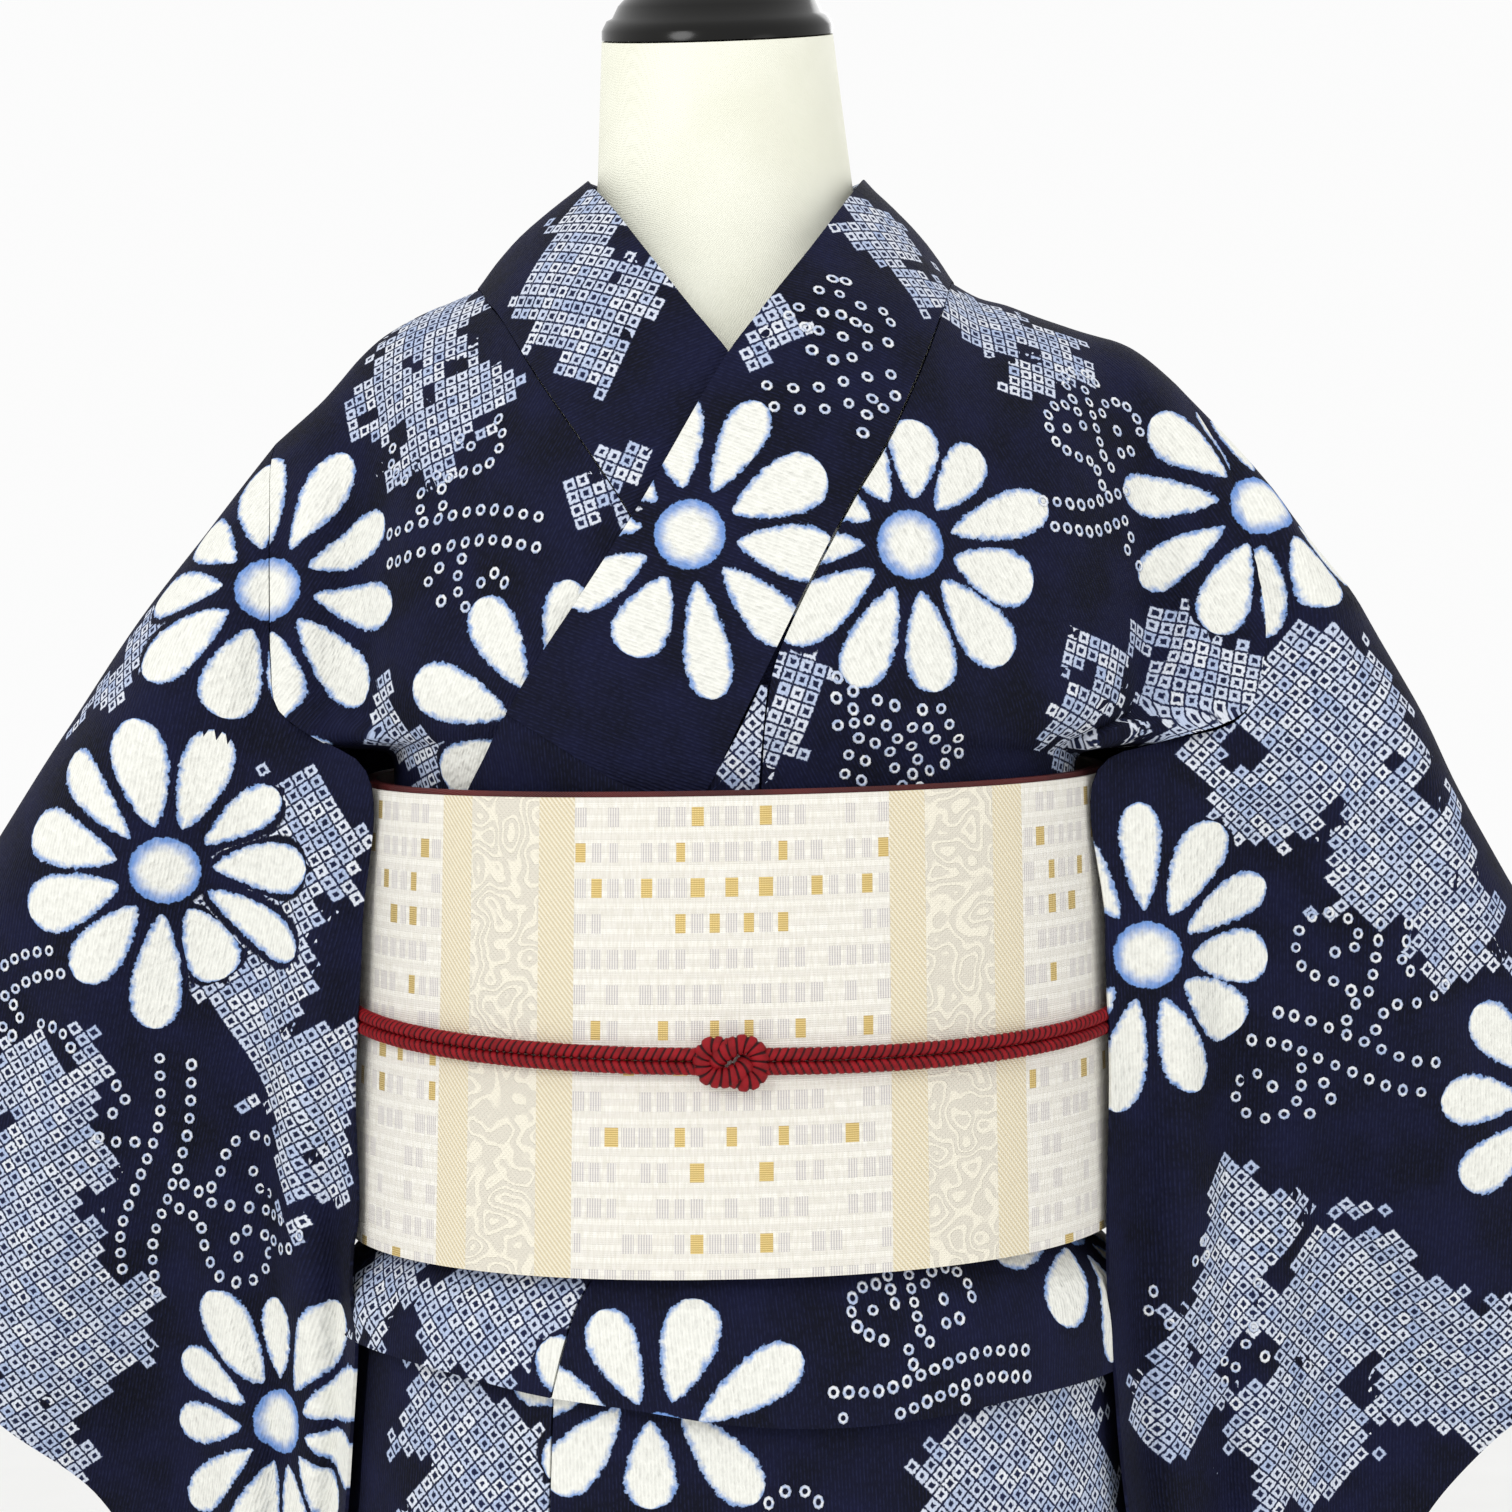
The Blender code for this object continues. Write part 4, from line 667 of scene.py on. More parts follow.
def make_obi():
    """The belt's outer turn, and the turn under it, whose lining shows along the top."""
    outer = np.array([obi_ring(i / 4, -OBI_CLOTH / 2) for i in range(5)])
    add_wall("obi_outer_turn", outer, OBI_CLOTH, ring=True)
    under_lift = -OBI_CLOTH - SEAM_GAP - OBI_UNDER_CLOTH / 2
    top = 1 + OBI_EDGE_SHOWS / OBI_HEIGHT
    under = np.array([obi_ring(share, under_lift) for share in (0.006, 0.5, top)])
    add_wall("obi_under_turn", under, OBI_UNDER_CLOTH, ring=True)


def make_drum():
    """The belt's square drum behind, its tail below and its hand end through the loop."""
    for name, section, steps, half_width in (
        ("obi_drum", DRUM_SECTION, DRUM_STEPS, DRUM_HALF_WIDTH),
        ("obi_tail", TAIL_SECTION, TAIL_STEPS, DRUM_HALF_WIDTH - TAIL_INSET),
    ):
        route = [along(section, i / steps) for i in range(steps + 1)]
        across = np.linspace(-half_width, half_width, 5)
        grid = np.array([[(x, y - DRUM_BOW * x * x, z) for y, z in route] for x in across])
        add_wall(name, grid, OBI_CLOTH)
    plan = [(-x, y) for x, y in HAND_PLAN[:0:-1]] + list(HAND_PLAN)
    heights = np.linspace(HAND_Z - HAND_HALF_HEIGHT, HAND_Z + HAND_HALF_HEIGHT, 3)
    route = [along(plan, i / HAND_STEPS) for i in range(HAND_STEPS + 1)]
    grid = np.array([[(x, y, z) for x, y in route] for z in heights])
    add_wall("obi_hand_end", grid, HAND_CLOTH)


def cord_height(y):
    return CORD_Z + CORD_TILT * y * (1.0 if y < 0 else CORD_BACK_TILT)


def cord_route(count):
    """Middle of the cord pair, from the knot's right side round the back to its left."""
    lift = CORD_RADIUS + SEAM_GAP
    half_width = mix(OBI_HALF_WIDTH_LOW, OBI_HALF_WIDTH_TOP, 0.5) + lift
    start = math.asin(((KNOT_HALF_WIDTH - CORD_IN_KNOT) / half_width) ** (OBI_POWER / 2))
    half = []
    for i in range(10):
        turn = mix(start, math.pi / 2, i / 9)
        half.append(oval_point(turn, half_width, OBI_HALF_DEPTH + lift, OBI_POWER))
    half += list(CORD_BEHIND)
    mirrored = [(-x, y) for x, y in half[-2::-1]]
    return [along(half + mirrored, i / (count - 1)) for i in range(count)]


def skirt_point(turn, z, lift):
    half_width, half_depth = through(SKIRT, z)
    x, y = oval_point(turn, half_width + lift, half_depth + lift, WAIST_POWER)
    return np.array([x + WAIST_X, y, z])


def turns_between(start, end):
    """Turns from start to end, with the ones in between on the same steps for every layer."""
    first = math.ceil(start / TURN_STEP + 0.25)
    last = math.floor(end / TURN_STEP - 0.25)
    return [start] + [k * TURN_STEP for k in range(first, last + 1)] + [end]


def skirt_piece(name, start, end, lift_start, lift_end):
    """One cut piece of the wrap, between two turns, its layer changing from start to end."""
    turns = turns_between(start, end)
    grid = np.zeros((len(SKIRT_LEVELS), len(turns), 3))
    for i, z in enumerate(SKIRT_LEVELS):
        for j, turn in enumerate(turns):
            share = (turn - start) / (end - start)
            grid[i, j] = skirt_point(turn, z, mix(lift_start, lift_end, share))
    add_wall(name, grid, COTTON)


def make_skirt():
    """The wrap from its hidden end at the right side, round the back, to its free edge on top."""
    quarter = math.pi / 2
    layer = SKIRT_LAYER
    hidden_seam, hidden_end = UNDER_OKUMI_TURNS
    skirt_piece("skirt_right_okumi", hidden_seam + SEAM_TURN, hidden_end, 0.0, 0.0)
    skirt_piece("skirt_right_front", -quarter + SEAM_TURN, hidden_seam - SEAM_TURN, 0.0, 0.0)
    skirt_piece("skirt_right_back", -2 * quarter + SEAM_TURN, -quarter - SEAM_TURN, 0.0, 0.0)
    skirt_piece("skirt_left_back", quarter + SEAM_TURN, 2 * quarter - SEAM_TURN, layer, 0.0)
    skirt_piece("skirt_left_front", OKUMI_TURN + SEAM_TURN, quarter - SEAM_TURN, layer, layer)
    skirt_piece("skirt_left_okumi", OVERLAP_TURN, OKUMI_TURN - SEAM_TURN, layer, layer)


def tuck_hem(turn):
    """Height of the tuck's lower fold at a turn; the back is level."""
    share = (turn + math.pi / 2) / math.pi
    if 0 <= share <= 1:
        return through(TUCK_HEM, share)
    edge = TUCK_HEM[0][1] if math.sin(turn) < 0 else TUCK_HEM[-1][1]
    return mix(edge, TUCK_BACK_Z, ease(abs(math.cos(turn)), 0.0, 0.5))


def tuck_point(turn, z):
    """A point of the tuck at a height above its lower fold."""
    low = tuck_hem(turn)
    share = (z - low) / (TUCK_TOP_Z - low)
    x, y = oval_point(turn, OBI_HALF_WIDTH_LOW, OBI_HALF_DEPTH, OBI_POWER)
    belt_low = OBI_TOP_Z - OBI_HEIGHT + y * OBI_TILT + x * OBI_ROLL
    puff = TUCK_PUFF * (1 - ease(z, belt_low - TUCK_PUFF_ENDS[0], belt_low - TUCK_PUFF_ENDS[1]))
    puff -= TUCK_ROUND * (1 - ease(share, 0.0, 0.25))
    return skirt_point(turn, z, TUCK_LIFT + puff)


def tuck_piece(name, starts, ends):
    """One piece of the doubled tuck; its seams may lean from the lower fold to the top."""
    inside = turns_between(max(starts), min(ends))[1:-1]
    rows = len(TUCK_LEVELS) + 2
    grid = np.zeros((rows, len(inside) + 2, 3))
    for i in range(rows):
        share = i / (rows - 1)
        turns = [mix(*starts, share)] + inside + [mix(*ends, share)]
        for j, turn in enumerate(turns):
            low = tuck_hem(turn)
            levels = (low, mix(low, TUCK_LEVELS[0], 0.5), *TUCK_LEVELS)
            grid[i, j] = tuck_point(turn, levels[i])
    add_wall(name, grid, TUCK_CLOTH)


def make_tuck():
    """The doubled tuck below the belt: the left front and its overlap panel, the right, the back."""
    quarter = math.pi / 2
    around = 2 * math.pi
    low, top = TUCK_OKUMI_TURN
    gap = SEAM_TURN
    right_end = -quarter - TUCK_PAST_SIDE
    tuck_piece("tuck_left_front", (low + gap, top + gap), (quarter - gap, quarter - gap))
    tuck_piece("tuck_left_okumi", (TUCK_SIDE_TURN + gap, TUCK_SIDE_TURN + gap), (low - gap, top - gap))
    tuck_piece("tuck_right_front", (right_end + gap, right_end + gap), (TUCK_SIDE_TURN - gap,) * 2)
    tuck_piece("tuck_back", (quarter + gap, quarter + gap), (around + right_end - gap,) * 2)


def neck_cut(x, y):
    """Rise of the neck's tilted rim at a place."""
    return math.tan(NECK_TILT) * y + math.tan(NECK_ROLL) * x


def make_form():
    """The limbless dress form, from the hips to the neck, with a flat tilted top."""
    levels = []
    for low, high in zip(FORM[:-1], FORM[1:]):
        levels.append(low[0])
        if high[0] - low[0] > FORM_LONG_STEP:
            levels.append((low[0] + high[0]) / 2)
    levels.append(FORM[-1][0])
    rings = []
    for z in levels:
        half_width, front, back, centre = through(FORM, z)
        power = mix(WAIST_POWER, 2.0, ease(z, 1.26, 1.33))
        cut = ease(z, NECK_CUT_Z, NECK_TOP_Z)
        ring = []
        for j in range(ROUND_COLUMNS):
            angle = 2 * math.pi * j / ROUND_COLUMNS
            x, y = oval_point(angle, half_width, front if math.cos(angle) > 0 else back, power)
            ring.append((x + centre, y, z + neck_cut(x, y) * cut))
        rings.append(ring)
    add_loft("dress_form", np.array(rings), "cream_form")


def make_cap():
    """The glossy domed cap on the neck, with a shallow rim."""
    rings = []
    for share, height in CAP_PROFILE:
        ring = []
        for j in range(ROUND_COLUMNS):
            angle = 2 * math.pi * j / ROUND_COLUMNS
            x = CAP_RADIUS * share * math.sin(angle)
            y = -CAP_RADIUS * CAP_DEPTH_SHARE * share * math.cos(angle)
            ring.append((x + NECK_CENTRE_X, y, NECK_TOP_Z + neck_cut(x, y) + height))
        rings.append(ring)
    add_loft("neck_cap", np.array(rings), "black_gloss")


def round_piece(name, profile, columns, finish):
    rings = []
    for radius, z in profile:
        turns = [2 * math.pi * j / columns for j in range(columns)]
        rings.append([(radius * math.sin(a), -radius * math.cos(a), z) for a in turns])
    add_loft(name, np.array(rings), finish)


def make_stand():
    """The flat round base and the pole up into the form."""
    base = (
        (BASE_RADIUS - 0.003, 0.0),
        (BASE_RADIUS, 0.003),
        (BASE_RADIUS, 0.008),
        (BASE_RADIUS - 0.010, BASE_THICKNESS),
    )
    round_piece("stand_base", base, 40, "black_metal")
    pole = (
        (POLE_FOOT_RADIUS, BASE_THICKNESS + PART_GAP),
        (POLE_FOOT_RADIUS, POLE_FOOT_Z),
        (POLE_RADIUS, POLE_FOOT_Z + 0.010),
        (POLE_RADIUS, FORM_LOW_Z - PART_GAP),
    )
    round_piece("stand_pole", pole, 16, "black_metal")


VIEW_X, VIEW_Y, VIEW_Z = 0.006, -1.050, 1.150
VIEW_FOCAL = 2835.0
VIEW_MIDDLE = 756.0
# Distance from the camera to the cloth's front
FRONT_AWAY = 0.95
# Spacing of the fine cloth's points, and rounds in which its flat places are eased
CLOTH_STEP = 0.0055
FLAT_ROUNDS = 4000
SHARP_ANGLE = math.radians(50)
WELD_REACH = 1e-6
MOST_OF_CUT = 0.999


def in_photo(points):
    """Where points show in the 1512 frame."""
    away = points[..., 1] - VIEW_Y
    across = VIEW_MIDDLE + (points[..., 0] - VIEW_X) * VIEW_FOCAL / away
    down = VIEW_MIDDLE - (points[..., 2] - VIEW_Z) * VIEW_FOCAL / away
    return np.stack([across, down], axis=-1)


def fine_keys(points, axis, step):
    lengths = np.linalg.norm(np.diff(points, axis=axis), axis=2).mean(axis=1 - axis)
    keys = np.concatenate([[0.0], np.cumsum(np.maximum(lengths, 1e-6))])
    spans = [
        np.linspace(a, b, max(1, math.ceil((b - a) / step)), endpoint=False)
        for a, b in zip(keys[:-1], keys[1:])
    ]
    return keys, np.concatenate(spans + [[keys[-1]]])


def finer(values, keys, places):
    """Values resampled along their first axis on a smooth curve."""
    slopes = np.gradient(values, keys, axis=0)
    i = np.clip(np.searchsorted(keys, places, side="right") - 1, 0, len(keys) - 2)
    step = (keys[i + 1] - keys[i]).reshape(-1, 1, 1)
    return curve_point(values, slopes, i, step, (places - keys[i]).reshape(-1, 1, 1) / step)


def linked(name, data):
    """A new object in the scene."""
    made = bpy.data.objects.new(name, data)
    bpy.context.scene.collection.objects.link(made)
    return made


def flattened(grid):
    """Places (u, v) of the grid's points when the cloth lies flat, in metres, v up the body."""
    rows, columns = grid.shape[:2]
    faces = [
        (i * columns + j, i * columns + j + 1, (i + 1) * columns + j + 1, (i + 1) * columns + j)
        for i in range(rows - 1)
        for j in range(columns - 1)
    ]
    mesh = bpy.data.meshes.new("flat")
    mesh.from_pydata(grid.reshape(-1, 3).tolist(), [], faces)
    sheet = linked("flat", mesh)
    bpy.context.view_layer.objects.active = sheet
    sheet.select_set(True)
    mesh.uv_layers.new(name="cloth")
    bpy.ops.object.mode_set(mode="EDIT")
    bpy.ops.mesh.select_all(action="SELECT")
    bpy.ops.uv.unwrap(method="CONFORMAL", margin=0.0)
    bpy.ops.object.mode_set(mode="OBJECT")
    corners = np.zeros(len(mesh.loops), int)
    mesh.loops.foreach_get("vertex_index", corners)
    places = np.zeros(len(mesh.loops) * 2)
    mesh.uv_layers["cloth"].data.foreach_get("uv", places)
    flat = np.zeros((rows * columns, 2))
    flat[corners] = places.reshape(-1, 2)
    bpy.data.objects.remove(sheet, do_unlink=True)
    bpy.data.meshes.remove(mesh)
    flat = flat.reshape(rows, columns, 2)
    return upright(eased_flat(flat * size_ratio(grid, flat), grid), grid)


def eased_flat(flat, grid):
    """The flat places moved until every short way on them is as long as on the worn cloth."""
    rows, columns = grid.shape[:2]
    index = np.arange(rows * columns).reshape(rows, columns)
    pairs = np.concatenate([
        np.column_stack([first.reshape(-1), second.reshape(-1)])
        for first, second in (
            (index[:-1], index[1:]),
            (index[:, :-1], index[:, 1:]),
            (index[:-1, :-1], index[1:, 1:]),
            (index[:-1, 1:], index[1:, :-1]),
        )
    ])
    worn, places = grid.reshape(-1, 3), flat.reshape(-1, 2).copy()
    first, second = pairs.T
    length = np.linalg.norm(worn[second] - worn[first], axis=1)
    count = np.bincount(pairs.reshape(-1), minlength=len(places))
    for _ in range(FLAT_ROUNDS):
        way = places[second] - places[first]
        now = np.maximum(np.linalg.norm(way, axis=1), 1e-9)
        push = way * ((now - length) / now / 2)[:, None]
        moved = np.zeros_like(places)
        for axis in (0, 1):
            ahead, behind = (np.bincount(ends, push[:, axis], len(places)) for ends in (first, second))
            moved[:, axis] = ahead - behind
        places += moved / count[:, None] * 1.6
    return places.reshape(rows, columns, 2)


def size_ratio(grid, flat):
    """How many times longer the worn cloth's lines are than the flat ones."""
    long, short = (
        sum(np.linalg.norm(np.diff(places, axis=axis), axis=2).sum() for axis in (0, 1))
        for places in (grid, flat)
    )
    return long / short


FRONT_HALF_Y = 0.02
FEWEST_POINTS = 8


def upright(flat, grid):
    """The flat places turned so that v goes up and u to the right, as seen on the body."""
    shows = grid[..., 1] < FRONT_HALF_Y
    behind = shows.sum() < FEWEST_POINTS
    if behind:
        shows[:] = True
    known = np.column_stack([flat[shows], np.ones(shows.sum())])
    rise = unit(np.linalg.lstsq(known, grid[shows][:, 2], rcond=None)[0][:2])
    side = np.array([rise[1], -rise[0]])
    turned = np.stack([flat @ side, flat @ rise], axis=-1)
    known = np.column_stack([turned[shows], np.ones(shows.sum())])
    slope = np.linalg.lstsq(known, grid[shows][:, 0], rcond=None)[0][0]
    if (slope < 0) != behind:
        turned[..., 0] *= -1
    return turned - turned.reshape(-1, 2).mean(axis=0)


# How far the print's rows lean on the hanging sleeves, in degrees
SLEEVE_LEAN = {"right_sleeve": 12.0, "left_sleeve": -22.0}


def leaned(flat, degrees):
    s, c = math.sin(math.radians(degrees)), math.cos(math.radians(degrees))
    u, v = flat[..., 0], flat[..., 1]
    return np.stack([u * c + v * s, v * c - u * s], axis=-1)


# Soft creases and ridges. Seen in the photograph's frame: width and depth in millimetres, points.
FRONT_CREASES = (
    ("left chest fold", 7, 3.0, ((352, 400), (362, 506), (350, 640), (342, 745))),
    ("left armhole pull", 6, -3.0, ((285, 455), (276, 560), (262, 660), (254, 750))),
    ("left armhole ridge", 8, 2.5, ((318, 440), (312, 560), (300, 660), (290, 760))),
    ("left sleeve top fold", 14, 4.0, ((230, 560), (150, 700), (60, 840), (-40, 980))),
    ("left sleeve long fold", 16, -5.0, ((255, 700), (215, 900), (190, 1120), (150, 1400))),
    ("left sleeve side fold", 13, 4.5, ((205, 650), (110, 900), (60, 1150), (30, 1400))),
    ("left sleeve inner fold", 11, 4.0, ((300, 760), (318, 950), (300, 1200), (280, 1420))),
    ("right armhole ridge", 7, 3.5, ((1146, 405), (1190, 450), (1228, 500), (1277, 600))),
    ("right armhole valley", 6, -3.0, ((1175, 470), (1205, 540), (1225, 620), (1230, 700))),
    ("right outer ridge", 8, 3.0, ((1262, 440), (1300, 510), (1334, 582), (1350, 660))),
    ("right chest fold", 8, -3.5, ((1172, 560), (1160, 650), (1150, 740))),
    ("right chest ridge", 9, 3.0, ((1120, 600), (1105, 690), (1085, 765))),
    ("right sleeve top fold", 14, 4.0, ((1330, 640), (1400, 760), (1480, 900), (1560, 1040))),
    ("right sleeve long fold", 15, -5.0, ((1240, 700), (1262, 860), (1300, 1060), (1370, 1330))),
    ("right sleeve side fold", 14, 4.5, ((1290, 690), (1360, 860), (1430, 1060), (1500, 1260))),
    ("right sleeve inner fold", 11, 4.0, ((1180, 800), (1170, 980), (1195, 1200), (1230, 1450))),
    ("chest soft trough", 12, -1.6, ((430, 440), (470, 580), (500, 700))),
    ("chest right soft trough", 14, -1.8, ((1010, 420), (1000, 560), (965, 700))),
    ("tuck pleat", 5, 3.0, ((352, 1215), (362, 1290), (380, 1340))),
    ("tuck pleat valley", 4, -2.5, ((372, 1215), (384, 1285), (402, 1340))),
    ("tuck long soft fold", 12, 1.8, ((600, 1330), (760, 1352), (930, 1340))),
    ("tuck soft trough", 10, -1.2, ((860, 1300), (980, 1290), (1090, 1260))),
    ("skirt fold left", 12, 3.0, ((470, 1390), (462, 1700), (450, 2200), (440, 3000))),
    ("skirt fold middle", 16, -3.0, ((690, 1430), (700, 1800), (720, 2400), (730, 3200))),
    ("skirt fold right", 15, 3.0, ((960, 1420), (985, 1800), (1010, 2400), (1020, 3200))),
)
# The same behind, in metres: width and depth in millimetres, points (x, z)
BACK_CREASES = (
    ("back left long fold", 14, 4.0, ((-0.12, 1.27), (-0.105, 1.19), (-0.085, 1.13))),
    ("back middle fold", 12, -2.5, ((0.012, 1.3), (0.016, 1.22), (0.01, 1.14))),
    ("back right long fold", 13, 4.0, ((0.118, 1.28), (0.108, 1.2), (0.088, 1.13))),
    ("back left sleeve fold", 16, 4.5, ((-0.17, 1.16), (-0.195, 1.03), (-0.215, 0.86))),
    ("back left sleeve trough", 14, -4.5, ((-0.195, 1.18), (-0.24, 1.05), (-0.262, 0.92))),
    ("back right sleeve fold", 16, 4.5, ((0.172, 1.15), (0.19, 1.02), (0.205, 0.84))),
    ("back right sleeve trough", 14, -4.5, ((0.205, 1.18), (0.25, 1.06), (0.285, 0.93))),
    ("back skirt fold left", 16, 3.5, ((-0.07, 0.9), (-0.08, 0.6), (-0.078, 0.2))),
    ("back skirt fold middle", 18, -3.0, ((0.02, 0.88), (0.01, 0.55), (0.015, 0.15))),
    ("back skirt fold right", 15, 3.5, ((0.08, 0.91), (0.085, 0.6), (0.09, 0.2))),
)


def crease_height(places, points, width, depth):
    """Height of one crease at places on a plane: full along its line, soft at its two ends."""
    line = np.array([along(points, k / 24) for k in range(25)])
    away = np.full(places.shape[:-1], 1e9)
    share = np.zeros(places.shape[:-1])
    for k in range(len(line) - 1):
        step = line[k + 1] - line[k]
        t = np.clip(((places - line[k]) @ step) / (step @ step), 0, 1)
        gap = np.linalg.norm(places - line[k] - t[..., None] * step, axis=-1)
        nearer = gap < away
        away = np.where(nearer, gap, away)
        share = np.where(nearer, (k + t) / (len(line) - 1), share)
    ends = np.clip(np.minimum(share, 1 - share) / 0.25, 0, 1)
    return depth * np.exp(-((away / width) ** 2)) * (0.15 + 0.85 * ends * ends * (3 - 2 * ends))


def creased(points, out):
    """Cloth points moved along their outward normals by the creases and a slight unevenness."""
    height = np.zeros(points.shape[:-1])
    toward = np.clip(-out[..., 1] * 2.0, 0, 1)
    scale = FRONT_AWAY / VIEW_FOCAL * 1000
    shown = in_photo(points)
    for _, width, depth, line in FRONT_CREASES:
        height += toward * crease_height(shown, line, width / scale, depth)
    back = np.clip(out[..., 1] * 2.0, 0, 1)
    flat = points[..., [0, 2]]
    for _, width, depth, line in BACK_CREASES:
        height += back * crease_height(flat, line, width / 1000, depth)
    x, y, z = points[..., 0], points[..., 1], points[..., 2]
    height += 0.55 * np.sin(31 * x + 17 * z + 2.0) * np.sin(23 * z - 9 * x + 40 * y + 0.7)
    height += 0.25 * np.sin(83 * x - 41 * z + 1.0) * np.sin(67 * z + 29 * x + 1.9)
    return height / 1000


class Sheet:
    """One piece of cloth: its fine points, outward normals and flat places."""

    def __init__(self, name, points, out, flat, thickness, ring):
        self.name, self.points, self.out, self.flat = name, points, out, flat
        self.thickness, self.ring = thickness, ring
        self.flowers, self.discs, self.marks = [], [], []

    def place(self, across, down):
        """Flat place of a spot seen in the photograph's frame."""
        seen = in_photo(self.points)
        gap = np.linalg.norm(seen - np.array([across, down]), axis=-1)
        gap = gap + np.where(self.out[..., 1] < -0.03, 0.0, 1e6)
        likely = gap < gap.min() + 9.0
        nearest = np.where(likely, self.points[..., 1] + gap * 1e-4, 1e6)
        i, j = np.unravel_index(np.argmin(nearest), gap.shape)
        window = (slice(max(i - 2, 0), i + 3), slice(max(j - 2, 0), j + 3))
        known = seen[window].reshape(-1, 2)
        known = np.column_stack([known, np.ones(len(known))])
        fit = np.linalg.lstsq(known, self.flat[window].reshape(-1, 2), rcond=None)[0]
        return np.array([across, down, 1.0]) @ fit

    def share(self, down, across):
        """Flat place of a spot by its shares of the way along the rows and columns."""
        rows, columns = self.points.shape[:2]
        return self.flat[int(down * (rows - 1)), int(across * (columns - 1))]


sheets = {}
SMOOTH_BELTS = ("obi_outer_turn", "obi_under_turn", "obi_drum", "obi_tail", "obi_hand_end")


def add_wall(name, grid, thickness, ring=False):
    """Keeps a piece of cloth, resampled finely, with its creases, for finish_sheet to build."""
    if ring:
        lowest = int(np.argmin(grid[:, :, 2].mean(axis=0)))
        grid = np.roll(grid, -(lowest if "sleeve" in name else grid.shape[1] // 2), axis=1)
        grid = np.concatenate([grid, grid[:, :1]], axis=1)
    belt = name in SMOOTH_BELTS
    flat = belt_flat(name, grid) if belt else leaned(flattened(grid), SLEEVE_LEAN.get(name, 0.0))
    keys, places = fine_keys(grid, 0, CLOTH_STEP)
    points, flat = finer(grid, keys, places), finer(flat, keys, places)
    keys, places = fine_keys(points, 1, CLOTH_STEP)
    if ring:
        wrapped = np.concatenate([points[:, -3:-1], points, points[:, 1:3]], axis=1)
        keys = np.concatenate([keys[-3:-1] - keys[-1], keys, keys[1:3] + keys[-1]])
        points = finer(wrapped.swapaxes(0, 1), keys, places).swapaxes(0, 1)
        flat = finer(flat.swapaxes(0, 1), keys[2:-2], places).swapaxes(0, 1)
    else:
        points = finer(points.swapaxes(0, 1), keys, places).swapaxes(0, 1)
        flat = finer(flat.swapaxes(0, 1), keys, places).swapaxes(0, 1)
    out = outward(name, points, ring)
    if not belt:
        points = points + out * (creased(points, out) * room(name, points))[..., None]
        out = outward(name, points, ring)
    sheets[name] = Sheet(name, points, out, flat, thickness, ring)


def outward(name, points, ring):
    """Unit normals that point away from the body, or out of the sleeve."""
    if ring:
        normals = normals_of(points[:, :-1], True)
        normals = np.concatenate([normals, normals[:, :1]], axis=1)
    else:
        normals = normals_of(points, False)
    if "sleeve" in name:
        middle = points.mean(axis=1, keepdims=True)
    elif name in ("obi_drum", "obi_tail", "obi_hand_end"):
        middle = np.array([0.0, 0.05 if name != "obi_drum" else 0.155, points[..., 2].mean()])
    else:
        middle = points * np.array([0.0, 0.0, 0.6]) + np.array([0.0, 0.0, 0.46])
    total = np.einsum("ijk,ijk->", normals, points - middle)
    return normals if total > 0 else -normals


# Where creases start: height, and the way over which they reach their full depth
BELT_HOLD, SKIRT_HOLD, TUCK_HOLD = (1.137, 0.03), (0.900, 0.08), (0.975, 0.02)


def room(name, points):
    """How much of the creases a piece may take: none where the belt or the wrap holds it."""
    z = points[..., 2]
    if "bodice" in name or "collar" in name or "okumi_tip" in name:
        low = BELT_HOLD[0] + OBI_TILT * np.clip(points[..., 1], -0.12, 0.12)
        return np.clip((z - low) / BELT_HOLD[1], 0, 1)
    if "skirt" in name:
        return np.clip((SKIRT_HOLD[0] - z) / SKIRT_HOLD[1], 0, 1)
    if "tuck" in name:
        return np.clip((TUCK_HOLD[0] - z) / TUCK_HOLD[1], 0, 1) * 0.8
    return np.ones(z.shape)


# How far the print's height is stretched on the belt's hand end
HAND_STRETCH = 1.9


def belt_flat(name, grid):
    """Flat places on the belt: u from the middle of the front, or of the back, and v up it."""
    if name.endswith("turn"):
        u = ways(grid[-1])
        u -= u[-1] / 2
        v = np.linspace(0.0, OBI_HEIGHT, len(grid))
        return np.stack(np.meshgrid(u, v, indexing="xy"), axis=-1)
    if name == "obi_hand_end":
        v = np.linspace(0.0, 2 * HAND_HALF_HEIGHT, len(grid))
        return np.stack(np.meshgrid(v * HAND_STRETCH, ways(grid[0]), indexing="ij"), axis=-1)[:, :, ::-1]
    return np.stack(np.meshgrid(grid[:, 0, 0], -ways(grid[0]), indexing="ij"), axis=-1)


def in_place(mesh, name, ending, finish, weld=False, reface=False):
    """Turns a mesh outward and puts it in place of the plain piece."""
    work = bmesh.new()
    work.from_mesh(mesh)
    if weld:
        bmesh.ops.remove_doubles(work, verts=work.verts, dist=WELD_REACH)
    if reface:
        bmesh.ops.recalc_face_normals(work, faces=work.faces)
    if work.calc_volume(signed=True) < 0:
        bmesh.ops.reverse_faces(work, faces=work.faces)
    work.to_mesh(mesh)
    work.free()
    mesh.shade_smooth()
    mesh.set_sharp_from_angle(angle=SHARP_ANGLE)
    mesh.materials.append(finishes[finish])
    piece = linked(name + ending, mesh)
    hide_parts(name)
    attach(piece, "root")
    return piece


def add_solid(name, points, faces, finish):
    """A closed body from points and faces, with its finish, in place of the plain one."""
    mesh = bpy.data.meshes.new(name + "_fine")
    mesh.from_pydata([tuple(p) for p in points], [], faces)
    return in_place(mesh, name, "_fine", finish, reface=True)


